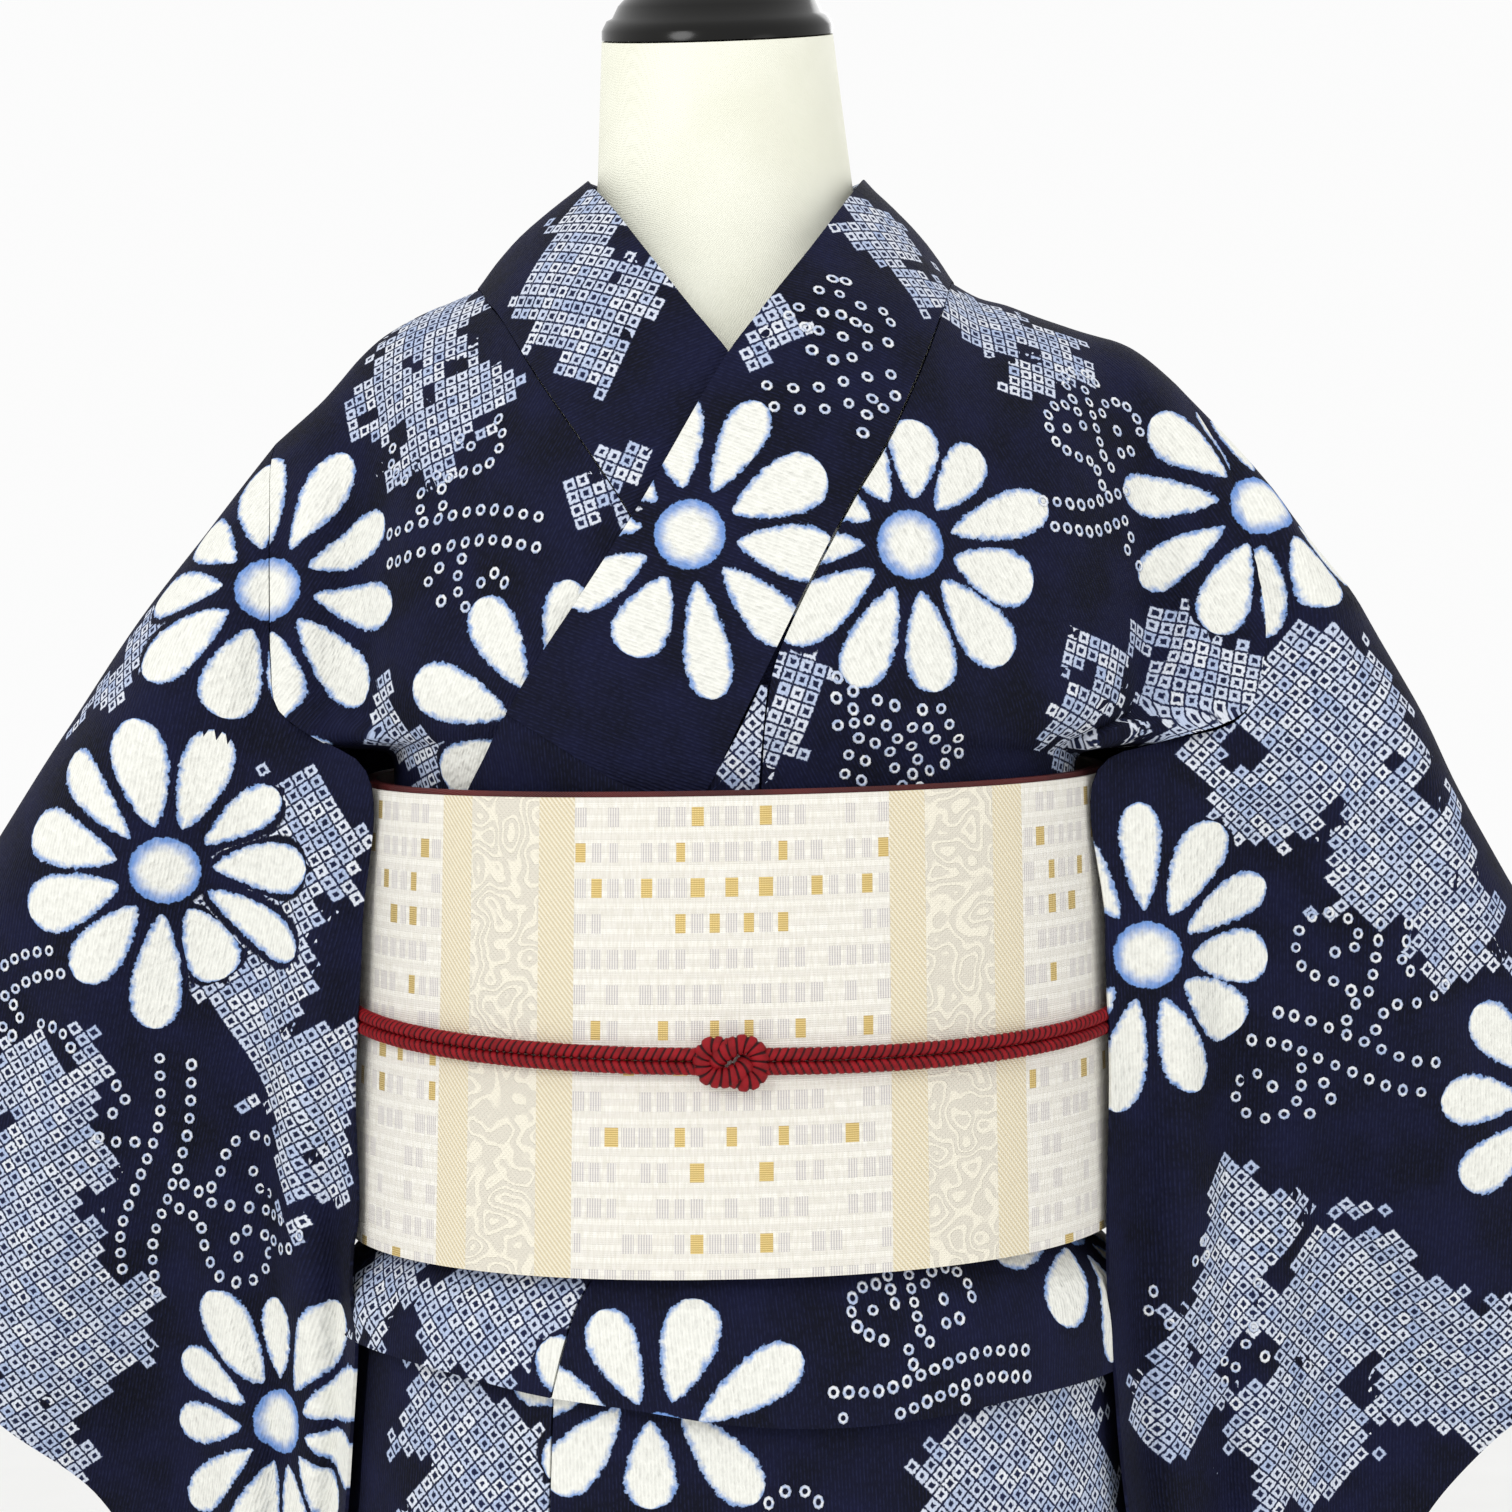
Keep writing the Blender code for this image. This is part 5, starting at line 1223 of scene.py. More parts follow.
def tube_faces(start, rows, columns):
    """Faces of a tube of rings whose points are numbered from start, with flat ends."""
    faces = []
    for i in range(rows - 1):
        a, b = start + i * columns, start + (i + 1) * columns
        for j in range(columns):
            k = (j + 1) % columns
            faces.append((a + j, a + k, b + k, b + j))
    return faces + [tuple(range(start, start + columns)), tuple(range(b + columns - 1, b - 1, -1))]


def add_loft(name, rings, finish):
    """A solid through rings of points, closed with flat ends."""
    rows, columns = rings.shape[:2]
    return add_solid(name, rings.reshape(-1, 3), tube_faces(0, rows, columns), finish)


def finish_sheet(piece, finish, rests_on):
    """Builds the thin shell of a piece of cloth, with its flat places and printed motifs."""
    points, out, flat = piece.points, piece.out, piece.flat
    rows, columns = points.shape[:2]
    half = piece.thickness / 2
    both = np.concatenate([(points + out * half).reshape(-1, 3), (points - out * half).reshape(-1, 3)])
    below = rows * columns
    i, j = np.meshgrid(np.arange(rows - 1), np.arange(columns - 1), indexing="ij")
    a = (i * columns + j).reshape(-1)
    upper = np.stack([a, a + 1, a + columns + 1, a + columns], axis=1)
    lower = upper[:, ::-1] + below
    top = np.arange(columns - 1)
    last = (rows - 1) * columns
    rims = [np.stack([below + top, below + top + 1, top + 1, top], axis=1)]
    rims.append(np.stack([last + top, last + top + 1, below + last + top + 1, below + last + top], axis=1))
    if not piece.ring:
        side = np.arange(rows - 1) * columns
        rims.append(np.stack([side, side + columns, below + side + columns, below + side], axis=1))
        side = side + columns - 1
        rims.append(np.stack([below + side, below + side + columns, side + columns, side], axis=1))
    faces = np.concatenate([upper, lower] + rims)
    mesh = bpy.data.meshes.new(piece.name + "_cloth")
    mesh.from_pydata(both.tolist(), [], faces.tolist())
    corner = faces.reshape(-1) % below
    places = flat.reshape(-1, 2)[corner]
    layer = mesh.uv_layers.new(name="cloth")
    layer.data.foreach_set("uv", places.reshape(-1).astype(np.float32))
    middles = places.reshape(-1, 4, 2).mean(axis=1)
    write_vectors(mesh, "flower", "FACE", nearest_flower(piece, middles))
    write_vectors(mesh, "cloud", "CORNER", cloud_depth(piece, places))
    cloth = in_place(mesh, piece.name, "_cloth", finish, weld=piece.ring)
    length = np.linalg.norm(np.diff(points, axis=0), axis=2).sum(axis=0).max()
    width = np.linalg.norm(np.diff(points, axis=1), axis=2).sum(axis=1).max()
    down, over = np.diff(points, axis=0)[:, :-1], np.diff(points, axis=1)[:-1]
    area = np.linalg.norm(np.cross(down, over), axis=2).sum()
    cut = (round(float(width), 3), round(float(length), 3))
    area = float(min(area, MOST_OF_CUT * cut[0] * cut[1]))


def write_vectors(mesh, name, domain, values):
    made = mesh.attributes.new(name, "FLOAT_VECTOR", domain)
    made.data.foreach_set("vector", np.asarray(values, np.float32).reshape(-1))


def nearest_flower(piece, places):
    """For each face, the flat centre of the flower it may show, and that flower's kind."""
    flowers = np.array(piece.flowers or [(9.0, 9.0, 9.0)])
    gap = np.linalg.norm(places[:, None, :] - flowers[None, :, :2], axis=2)
    return flowers[np.argmin(gap, axis=1)]


def cloud_depth(piece, places):
    """How deep each corner lies inside a cloud of tied marks, and which way is deeper."""
    result = np.tile(np.array([-1.0, 0.0, 0.0]), (len(places), 1))
    for u, v, radius in piece.discs:
        away = places - np.array([u, v])
        gap = np.maximum(np.linalg.norm(away, axis=1), 1e-6)
        depth = radius - gap
        deeper = depth > result[:, 0]
        result[deeper, 0] = depth[deeper]
        result[deeper, 1:] = (-away / gap[:, None])[deeper]
    return result


class Value:
    """A number or place inside a finish; sums, products and powers of it become nodes."""

    def __init__(self, wires, socket):
        self.wires, self.socket = wires, socket

    def __add__(self, other):
        return self.wires.math("ADD", self, other)

    def __sub__(self, other):
        return self.wires.math("SUBTRACT", self, other)

    def __rsub__(self, other):
        return self.wires.math("SUBTRACT", other, self)

    def __mul__(self, other):
        return self.wires.math("MULTIPLY", self, other)

    def __truediv__(self, other):
        return self.wires.math("DIVIDE", self, other)

    def __rtruediv__(self, other):
        return self.wires.math("DIVIDE", other, self)

    def __pow__(self, other):
        return self.wires.math("POWER", self, other)

    def __abs__(self):
        return self.wires.math("ABSOLUTE", self)


class Wires:
    """Short calls for the nodes of one finish."""

    def __init__(self, name):
        self.finish = bpy.data.materials.new(name)
        self.finish.use_nodes = True
        self.tree = self.finish.node_tree
        self.shader = self.tree.nodes["Principled BSDF"]

    def feed(self, socket, value):
        if isinstance(value, Value):
            self.tree.links.new(value.socket, socket)
        else:
            socket.default_value = value

    def node(self, kind, *values, **settings):
        """A node with its settings, fed on its first inputs."""
        node = self.tree.nodes.new("ShaderNode" + kind)
        for name, value in settings.items():
            setattr(node, name, value)
        for socket, value in zip(node.inputs, values):
            self.feed(socket, value)
        return node

    def first(self, kind, *values, **settings):
        return Value(self, self.node(kind, *values, **settings).outputs[0])

    def math(self, kind, *values):
        return self.first("Math", *values, operation=kind)

    def most(self, *values):
        return self.math("MAXIMUM", *values)

    def whole(self, value):
        return self.math("ROUND", value)

    def over(self, value, limit):
        return self.math("GREATER_THAN", value, limit)

    def under(self, value, limit):
        return self.math("LESS_THAN", value, limit)

    def sine(self, value):
        return self.math("SINE", value)

    def cosine(self, value):
        return self.math("COSINE", value)

    def times(self, vector, factors):
        return self.first("VectorMath", vector, factors, operation="MULTIPLY")

    def apart(self, vector):
        return [Value(self, socket) for socket in self.node("SeparateXYZ", vector).outputs]

    def joined(self, x, y, z=0.0):
        return self.first("CombineXYZ", x, y, z)

    def ramp(self, value, low, high):
        """A smooth step from 0 at low to 1 at high."""
        return self.first("MapRange", value, low, high, interpolation_type="SMOOTHSTEP")

    def noise(self, vector, scale, detail=2.0, rough=0.5):
        node = self.node("TexNoise", vector)
        for name, value in (("Scale", scale), ("Detail", detail), ("Roughness", rough)):
            node.inputs[name].default_value = value
        return Value(self, node.outputs["Fac"])

    def grain(self, vector):
        """A value of its own for each whole-numbered place."""
        return self.first("TexWhiteNoise", vector)

    def mixed(self, share, first, second, way="MIX"):
        node = self.node("Mix", share, data_type="RGBA", blend_type=way)
        for socket, value in ((node.inputs[6], first), (node.inputs[7], second)):
            self.feed(socket, value if isinstance(value, Value) else colour(value))
        return Value(self, node.outputs[2])

    def flat(self):
        return self.first("UVMap", uv_map="cloth")

    def place(self):
        return Value(self, self.node("TexCoord").outputs["Object"])

    def kept(self, name):
        return Value(self, self.node("Attribute", attribute_name=name).outputs["Vector"])

    def bump(self, height, distance, strength=1.0):
        node = self.node("Bump")
        for name, value in (("Strength", strength), ("Distance", distance), ("Height", height)):
            self.feed(node.inputs[name], value)
        self.feed(self.shader.inputs["Normal"], Value(self, node.outputs[0]))

    def surface(self, **looks):
        """Sets the finish's colour, roughness and the like, and gives the finish back."""
        for name, value in looks.items():
            self.feed(self.shader.inputs[SHADER_INPUTS[name]], value)
        return self.finish


SHADER_INPUTS = {
    "paint": "Base Color",
    "rough": "Roughness",
    "shine": "Specular IOR Level",
    "metal": "Metallic",
    "sheen": "Sheen Weight",
}


def colour(rgb):
    """Linear colour from 0 to 255 screen values."""
    return (*[((c / 255 + 0.055) / 1.055) ** 2.4 if c > 10 else c / 255 / 12.92 for c in rgb], 1.0)


# The third colour is a painted highlight for the crests of the ribs
NAVY_DARK, NAVY, NAVY_CREST_HIGHLIGHT, CLOUD_GROUND = (5, 7, 24), (15, 18, 48), (38, 44, 80), (62, 78, 132)
MARK_LIGHT, MARK_BLUE = (230, 234, 242), (176, 192, 224)
PETAL_WHITE, PETAL_BLUE, DISC_BLUE = (240, 240, 232), (128, 160, 214), (112, 150, 214)
DISC_RADIUS = 0.0121
PETAL_START = 0.0158
PETAL_LENGTH = (0.044, 0.058)
# Least half width of a petal and what chance adds to it; how it swells and how blunt its tip is
PETAL_HALF_WIDTH = (0.011424, 0.004284)
PETAL_SWELL, PETAL_BLUNT = 0.62, 3.6
MARK_PITCH = 0.0047
# Share of a mark's pitch at its outer edge, and the bare way round the flowers
MARK_OUTER, MARKS_CLEAR = (0.455, 0.375), (-0.0022, -0.0032)
RIB_PITCH = 0.00125
CREPE_RELIEF = 0.00042
# How far the dye's edge wanders on petals, discs and clouds, and how soft it is
PETAL_RAGGED, DISC_RAGGED, CLOUD_RAGGED, BLOT = 0.0036, 0.0026, 0.045, 0.003
EDGE_SOFT = 0.0005
# Depths from the edge at which the blue rim starts and has turned white
PETAL_RIM, DISC_RIM = (0.0001, 0.0027), (0.0004, 0.0062)
DIAGONAL = 0.70711


def make_navy_cotton():
    """Crepe cotton: ribs, tie-dyed flowers with ragged blue edges and clouds of small tied marks; painted
    highlights on the rib crests, and painted light and shade from the ribs, pebbling and puckers.
    """
    w = Wires("navy_cotton_crepe")
    place = w.flat()
    u, v, _ = w.apart(place)
    centre_u, centre_v, kind = w.apart(w.kept("flower"))
    ragged = w.noise(place, 430.0, 2.5, 0.7) - 0.5
    blot = w.noise(place, 240.0, 1.0) - 0.5
    du, dv = u - centre_u, v - centre_v
    reach = w.math("SQRT", du * du + dv * dv)
    count = w.math("FLOOR", kind)
    turn = w.math("ARCTAN2", dv, du) + w.math("FRACT", kind) * (2 * math.pi)
    step = 2 * math.pi / count
    rank = w.whole(turn / step)
    off = turn - rank * step
    rank = w.math("FLOORED_MODULO", rank, count)
    own = w.grain(w.joined(rank, kind))
    wide = w.grain(w.joined(rank, kind, 3.0))
    tip = own * (PETAL_LENGTH[1] - PETAL_LENGTH[0]) + PETAL_LENGTH[0]
    ahead = reach * w.cosine(off)
    aside = reach * abs(w.sine(off))
    t = w.most((ahead - PETAL_START) / (tip - PETAL_START), 0.0)
    half = t**PETAL_SWELL * w.math("SQRT", w.most(1.0 - t**PETAL_BLUNT, 0.0))
    widest = wide * PETAL_HALF_WIDTH[1] + PETAL_HALF_WIDTH[0]
    beyond = w.most(ahead - tip, PETAL_START - ahead)
    petal = half * widest - aside - w.most(beyond, 0.0)
    petal = ragged * PETAL_RAGGED + petal
    disc = ragged * DISC_RAGGED + DISC_RADIUS - reach
    petal_here = w.ramp(petal, 0.0, EDGE_SOFT)
    disc_here = w.ramp(disc, 0.0, EDGE_SOFT)
    petal_colour = w.mixed(w.ramp(blot * BLOT + petal, *PETAL_RIM), PETAL_BLUE, PETAL_WHITE)
    disc_colour = w.mixed(w.ramp(blot * BLOT + disc, *DISC_RIM), DISC_BLUE, PETAL_WHITE)
    deep, more_u, more_v = w.apart(w.kept("cloud"))
    turned_u = (u + v) * (DIAGONAL / MARK_PITCH)
    turned_v = (v - u) * (DIAGONAL / MARK_PITCH)
    cell_u, cell_v = w.whole(turned_u), w.whole(turned_v)
    in_u, in_v = turned_u - cell_u, turned_v - cell_v
    back_u = (in_v - in_u) * (DIAGONAL * MARK_PITCH)
    back_v = (in_u + in_v) * (-DIAGONAL * MARK_PITCH)
    deep = deep + (more_u * back_u + more_v * back_v)
    cell = w.joined(cell_u, cell_v)
    chance = w.grain(cell)
    deep = (w.noise(cell, 0.33, 1.0) - 0.5) * CLOUD_RAGGED + deep
    cloud = w.over(deep, 0.0)
    wobble = (w.noise(place, 900.0, 1.0) - 0.5) * 0.24
    square = w.most(abs(in_u), abs(in_v)) + wobble
    hole_size = chance * 0.07 + 0.112
    ring = w.ramp(square - hole_size, 0.0, 0.09) * w.ramp(square, *MARK_OUTER)
    clear = w.ramp(w.most(petal, disc), *MARKS_CLEAR)
    mark_here = ring * cloud * clear
    mark_colour = w.mixed(w.grain(w.joined(cell_u, cell_v, 5.0)), MARK_BLUE, MARK_LIGHT)
    cloudy = w.noise(place, 35.0, 2.0)
    ground = w.mixed(w.ramp(cloudy, 0.3, 0.7), NAVY_DARK, NAVY)
    drift = w.noise(place, 130.0, 2.0) * 2.4 + u * (2 * math.pi / RIB_PITCH)
    ribs = w.sine(drift) * 0.5
    # Painted highlight: the crests of the ribs are lightened, in patches
    painted_crest_highlight = w.ramp(ribs, -0.1, 0.5) * w.ramp(w.noise(place, 520.0, 1.0), 0.35, 0.65)
    ground = w.mixed(painted_crest_highlight * 0.34, ground, NAVY_CREST_HIGHLIGHT)
    ground = w.mixed(cloud * clear * 0.14, ground, CLOUD_GROUND)
    painted = w.mixed(mark_here, ground, mark_colour)
    painted = w.mixed(petal_here, painted, petal_colour)
    painted = w.mixed(disc_here, painted, disc_colour)
    pebble = w.noise(w.times(place, (1.0, 0.55, 1.0)), 760.0, 2.0, 0.55)
    white = w.most(petal_here, disc_here)
    height = ribs * (white * -0.20 + 0.48) + pebble * 1.5
    pucker = w.noise(w.times(place, (1.0, 0.6, 1.0)), 400.0, 1.0) - 0.5
    edge = white * (pucker * 3.6 - 0.6)
    w.bump(height + edge, CREPE_RELIEF, 0.85)
    # Painted light and shade: the ribs, pebbling and puckers lighten and darken the colour as light falling
    # on their relief would
    painted_relief_light = (ribs + (pebble - 0.5 + pucker) * 2.2) * 0.10 + 0.97
    painted_with_relief_shade = w.mixed(1.0, painted, w.joined(painted_relief_light, painted_relief_light, painted_relief_light), "MULTIPLY")
    return w.surface(paint=painted_with_relief_shade, rough=pebble * 0.15 + 0.75, shine=0.18)


def belt_arc(x):
    """Way along the belt from the middle of its front to a place x metres to the side."""
    half_width = (OBI_HALF_WIDTH_TOP + OBI_HALF_WIDTH_LOW) / 2
    angles = [math.pi / 2 * k / 400 for k in range(401)]
    points = np.array([oval_point(a, half_width, OBI_HALF_DEPTH, OBI_POWER) for a in angles])
    return float(np.interp(x, points[:, 0], ways(points)))


# Belt pattern: half widths of its block field and twill, and of a whole repeat, seen from the front
BELT_FIELD_X, BELT_TWILL_X, BELT_GROUP_X = 0.0520, 0.0640, 0.0760
BLOCK_PITCH = (0.0056, 0.0118)
GREY_FROM, GOLD_FROM = 0.28, 0.86
WARP_PITCH, WEFT_PITCH, TWILL_PITCH, LADDER_PITCH = 0.00085, 0.00072, 0.0016, 0.0021
SILK_RELIEF = 0.00022


def make_white_silk():
    """Figured belt silk: a ribbed ground with gold and grey blocks, twill bands and scrollwork."""
    w = Wires("figured_belt_silk")
    place = w.flat()
    u, v, _ = w.apart(place)
    field, twill, group = belt_arc(BELT_FIELD_X), belt_arc(BELT_TWILL_X), belt_arc(BELT_GROUP_X)
    away = w.math("PINGPONG", u, group)
    in_field = w.under(away, field)
    in_scroll = w.over(away, twill)
    col, row = u / BLOCK_PITCH[0], v / BLOCK_PITCH[1]
    col_n, row_n = w.whole(col), w.whole(row)
    in_col, in_row = abs(col - col_n), abs(row - row_n)
    chance = w.grain(w.joined(abs(col_n), row_n))
    narrow = w.grain(w.joined(abs(col_n), row_n, 2.0))
    size_u = narrow * 0.16 + 0.26
    block = w.under(in_col, size_u) * w.under(in_row, 0.27) * in_field
    gold = block * w.over(chance, GOLD_FROM)
    grey = block * w.over(chance, GREY_FROM)
    threads = w.sine(u * (2 * math.pi / WARP_PITCH))
    weft = w.sine(v * (2 * math.pi / WEFT_PITCH))
    slub = w.noise(w.times(place, (1.0, 0.12, 1.0)), 1400.0, 2.0)
    ground = w.mixed(w.ramp(slub, 0.3, 0.7), (236, 232, 220), (250, 247, 239))
    ladder = w.under(w.math("PINGPONG", v, LADDER_PITCH), LADDER_PITCH * 11 / 21) * in_field
    ground = w.mixed(ladder * 0.30, ground, (216, 210, 200))
    grey_colour = w.mixed(w.ramp(threads, -0.5, 0.5), (196, 190, 190), (240, 236, 228))
    gold_colour = w.mixed(w.ramp(weft, -0.6, 0.6), (196, 164, 92), (232, 208, 142))
    painted = w.mixed(grey * 0.8, ground, grey_colour)
    painted = w.mixed(gold, painted, gold_colour)
    slant = w.sine((u + v * 0.8) * (2 * math.pi / TWILL_PITCH))
    twill_colour = w.mixed(w.ramp(slant, -0.4, 0.4), (222, 208, 174), (241, 233, 210))
    bands = 1.0 - in_field
    painted = w.mixed(bands, painted, twill_colour)
    curl = w.sine(w.noise(place, 70.0, 1.0) * 30.0)
    scroll = w.ramp(abs(curl), 0.80, 0.50)
    scroll_colour = w.mixed(scroll, (226, 220, 205), (244, 238, 220))
    painted = w.mixed(in_scroll * bands, painted, scroll_colour)
    raised = gold * 1.2 + grey * 0.7 + scroll * in_scroll * 1.4
    fine = threads * 0.22 + weft * 0.30 + slant * bands * 0.5
    w.bump(raised + fine + ladder * 0.8, SILK_RELIEF, 0.8)
    rough = gold * -0.18 + slub * 0.2 + 0.42
    return w.surface(paint=painted, rough=rough, metal=gold * 0.35, shine=0.35, sheen=0.15)


def make_plain_weave(name, dark, light, pitch, rough, depth):
    """A plain fine weave on the piece's own place."""
    w = Wires(name)
    place = w.place()
    x, y, z = w.apart(place)
    over = w.sine((x + y) * (2 * math.pi / pitch))
    up = w.sine(z * (2 * math.pi / pitch))
    cloudy = w.noise(place, 28.0, 3.0)
    w.bump(over * up + w.noise(place, 1500.0, 2.0), depth, 0.6)
    return w.surface(paint=w.mixed(w.ramp(cloudy, 0.3, 0.7), dark, light), rough=cloudy * 0.1 + rough)


def make_braid_red():
    """Red silk braid with painted shade: dark in the grooves of the plait, a little lighter on its
    stitches.
    """
    w = Wires("red_braid")
    place = w.place()
    groove, _, _ = w.apart(w.kept("plait"))
    fibre = w.noise(w.times(place, (1.0, 1.0, 3.0)), 1900.0, 2.0)
    stitch = w.mixed(w.ramp(w.noise(place, 260.0, 2.0), 0.3, 0.7), (124, 8, 18), (150, 14, 26))
    w.bump(fibre, 0.00025, 0.7)
    # Painted shade: the grooves of the plait darken towards a near-black red
    braid_red_with_groove_shade = w.mixed(w.ramp(groove, 0.12, 0.80), stitch, (46, 2, 7))
    return w.surface(paint=braid_red_with_groove_shade, rough=fibre * 0.2 + 0.48, shine=0.22)


def make_hard(name, dark, light, rough, scale, depth, shine):
    """Lacquered or powder-coated hard surface."""
    w = Wires(name)
    place = w.place()
    cloudy = w.noise(place, scale, 3.0)
    w.bump(w.noise(place, scale * 14, 2.0), depth, 0.4)
    paint = w.mixed(w.ramp(cloudy, 0.35, 0.65), dark, light)
    return w.surface(paint=paint, rough=cloudy * 0.08 + rough, shine=shine)


# Large flowers: petals and turn, then each piece it lies on; centre in the photograph's frame
FLOWERS = (
    (10.12, (690, 535), ("collar_cover",)),
    (11.3, (910, 545), ("left_bodice", "left_okumi_tip", "collar_cover")),
    (10.55, (270, 590), ("right_bodice", "right_sleeve")),
    (11.05, (165, 870), ("right_sleeve",)),
    (11.62, (283, 1420), ("right_sleeve",)),
    (11.2, (1147, 955), ("left_sleeve",)),
    (10.8, (1262, 505), ("left_bodice", "left_sleeve")),
    (9.4, (1560, 1100), ("left_sleeve",)),
    (9.15, (552, 728), ("right_bodice",)),
    (9.7, (660, 1448), ("tuck_left_front", "tuck_left_okumi")),
    (9.7, (650, 1372), ("skirt_left_front", "skirt_left_okumi")),
    (9.35, (1070, 1215), ("tuck_left_front",)),
    (10.6, (640, 2050), ("skirt_left_front", "skirt_left_okumi")),
    (11.4, (1050, 2420), ("skirt_left_front",)),
    (10.25, (430, 2500), ("skirt_left_okumi", "skirt_right_front")),
    (11.8, (760, 3150), ("skirt_left_front",)),
)
# Clouds of small tied marks: pieces, then centre and radius of its lobes in the photograph's frame
CLOUDS = (
    (("collar_cover",), ((600, 215, 62), (575, 290, 66), (640, 300, 40), (600, 350, 40))),
    (("collar_cover",), ((600, 480, 32), (625, 520, 26))),
    (("right_bodice",), ((430, 330, 66), (395, 400, 52), (470, 400, 50), (425, 450, 40))),
    (("right_bodice",), ((600, 500, 34),)),
    (("collar_cover", "left_bodice"), ((880, 235, 58), (925, 290, 44))),
    (("left_bodice",), ((985, 325, 64), (1050, 345, 46), (1025, 375, 36))),
    (("collar_cover",), ((770, 330, 26),)),
    (("right_bodice",), ((402, 742, 44), (388, 716, 28), (430, 775, 30))),
    (("right_sleeve", "right_bodice"), ((150, 640, 46), (110, 690, 44))),
    (("left_okumi_tip", "left_bodice"), ((765, 730, 46), (730, 770, 40), (795, 660, 30), (805, 610, 16))),
    (("left_bodice",), ((1078, 716, 44), (1100, 664, 36), (1058, 762, 34))),
    (("left_sleeve", "left_bodice"), ((1210, 690, 70), (1330, 720, 92), (1400, 850, 80), (1460, 930, 60),
     (1270, 800, 60))),
    (("right_sleeve",), ((290, 850, 76), (260, 970, 80), (310, 1080, 70), (300, 1180, 46))),
    (("right_sleeve",), ((40, 1100, 72), (20, 1220, 90), (60, 1330, 90), (30, 1440, 70), (90, 1170, 40))),
    (("left_sleeve",), ((1240, 1220, 66), (1210, 1310, 60), (1340, 1300, 96), (1460, 1370, 90),
     (1180, 1400, 60), (1300, 1430, 90))),
    (("tuck_left_okumi", "tuck_right_front"), ((400, 1260, 60), (480, 1320, 80), (560, 1330, 50),
     (360, 1310, 50))),
    (("skirt_left_okumi", "skirt_right_front"), ((440, 1410, 60), (490, 1480, 76), (520, 1560, 70),
     (430, 1540, 60))),
    (("skirt_left_front",), ((1060, 1440, 92), (980, 1490, 72), (1090, 1560, 96), (1000, 1620, 70))),
    (("skirt_left_front",), ((820, 1900, 90), (900, 1980, 96), (850, 2080, 70))),
    (("skirt_left_okumi", "skirt_left_front"), ((480, 2200, 90), (560, 2300, 92), (520, 2420, 70))),
    (("skirt_left_front",), ((900, 2750, 100), (1000, 2860, 92), (930, 2980, 70))),
    (("skirt_left_okumi", "skirt_left_front"), ((480, 2950, 90), (560, 3080, 92), (470, 3200, 80))),
)
# On the sides and back: pieces with shares of the way down and across, petals or radius in metres
HIDDEN_FLOWERS = (
    ("left_bodice", 0.72, 0.45, 10.3),
    ("right_bodice", 0.68, 0.55, 11.6),
    ("left_sleeve", 0.3, 0.2, 10.4),
    ("left_sleeve", 0.72, 0.12, 11.2),
    ("left_sleeve", 0.62, 0.38, 9.6),
    ("right_sleeve", 0.25, 0.2, 10.7),
    ("right_sleeve", 0.7, 0.1, 11.1),
    ("right_sleeve", 0.62, 0.36, 10.2),
    ("skirt_left_back", 0.22, 0.55, 10.9),
    ("skirt_left_back", 0.62, 0.3, 11.4),
    ("skirt_right_back", 0.4, 0.5, 10.1),
    ("skirt_right_back", 0.82, 0.6, 9.8),
    ("skirt_right_front", 0.3, 0.01, 10.6),
    ("skirt_left_front", 0.45, 0.9, 11.2),
    ("tuck_back", 0.5, 0.2, 10.5),
)
HIDDEN_CLOUDS = (
    ("left_bodice", 0.6, 0.6, 0.036),
    ("left_bodice", 0.88, 0.75, 0.034),
    ("left_bodice", 0.82, 0.2, 0.03),
    ("right_bodice", 0.82, 0.3, 0.04),
    ("right_bodice", 0.57, 0.3, 0.03),
    ("collar_cover", 0.42, 0.5, 0.03),
    ("collar_cover", 0.58, 0.5, 0.026),
    ("left_sleeve", 0.45, 0.16, 0.04),
    ("left_sleeve", 0.5, 0.26, 0.036),
    ("left_sleeve", 0.85, 0.3, 0.04),
    ("right_sleeve", 0.42, 0.24, 0.044),
    ("right_sleeve", 0.48, 0.14, 0.036),
    ("right_sleeve", 0.85, 0.28, 0.04),
    ("skirt_left_back", 0.1, 0.3, 0.04),
    ("skirt_left_back", 0.42, 0.6, 0.046),
    ("skirt_left_back", 0.45, 0.3, 0.04),
    ("skirt_left_back", 0.85, 0.6, 0.05),
    ("skirt_right_back", 0.15, 0.6, 0.044),
    ("skirt_right_back", 0.62, 0.3, 0.046),
    ("skirt_right_back", 0.66, 0.6, 0.04),
    ("skirt_right_front", 0.6, 0.12, 0.034),
    ("skirt_left_front", 0.68, 0.85, 0.046),
    ("skirt_left_front", 0.2, 0.88, 0.044),
    ("tuck_back", 0.5, 0.6, 0.036),
    ("tuck_back", 0.5, 0.85, 0.03),
    ("collar_right_end", 0.5, 0.5, 0.02),
)
PHOTO_METRE = 0.000336


def print_motifs():
    for kind, centre, pieces in FLOWERS:
        for name in pieces:
            sheets[name].flowers.append((*sheets[name].place(*centre), kind))
    for pieces, lobes in CLOUDS:
        for name in pieces:
            for across, down, radius in lobes:
                sheets[name].discs.append((*sheets[name].place(across, down), radius * PHOTO_METRE))
    for name, down, across, kind in HIDDEN_FLOWERS:
        sheets[name].flowers.append((*sheets[name].share(down, across), kind))
    for name, down, across, radius in HIDDEN_CLOUDS:
        sheets[name].discs.append((*sheets[name].share(down, across), radius))


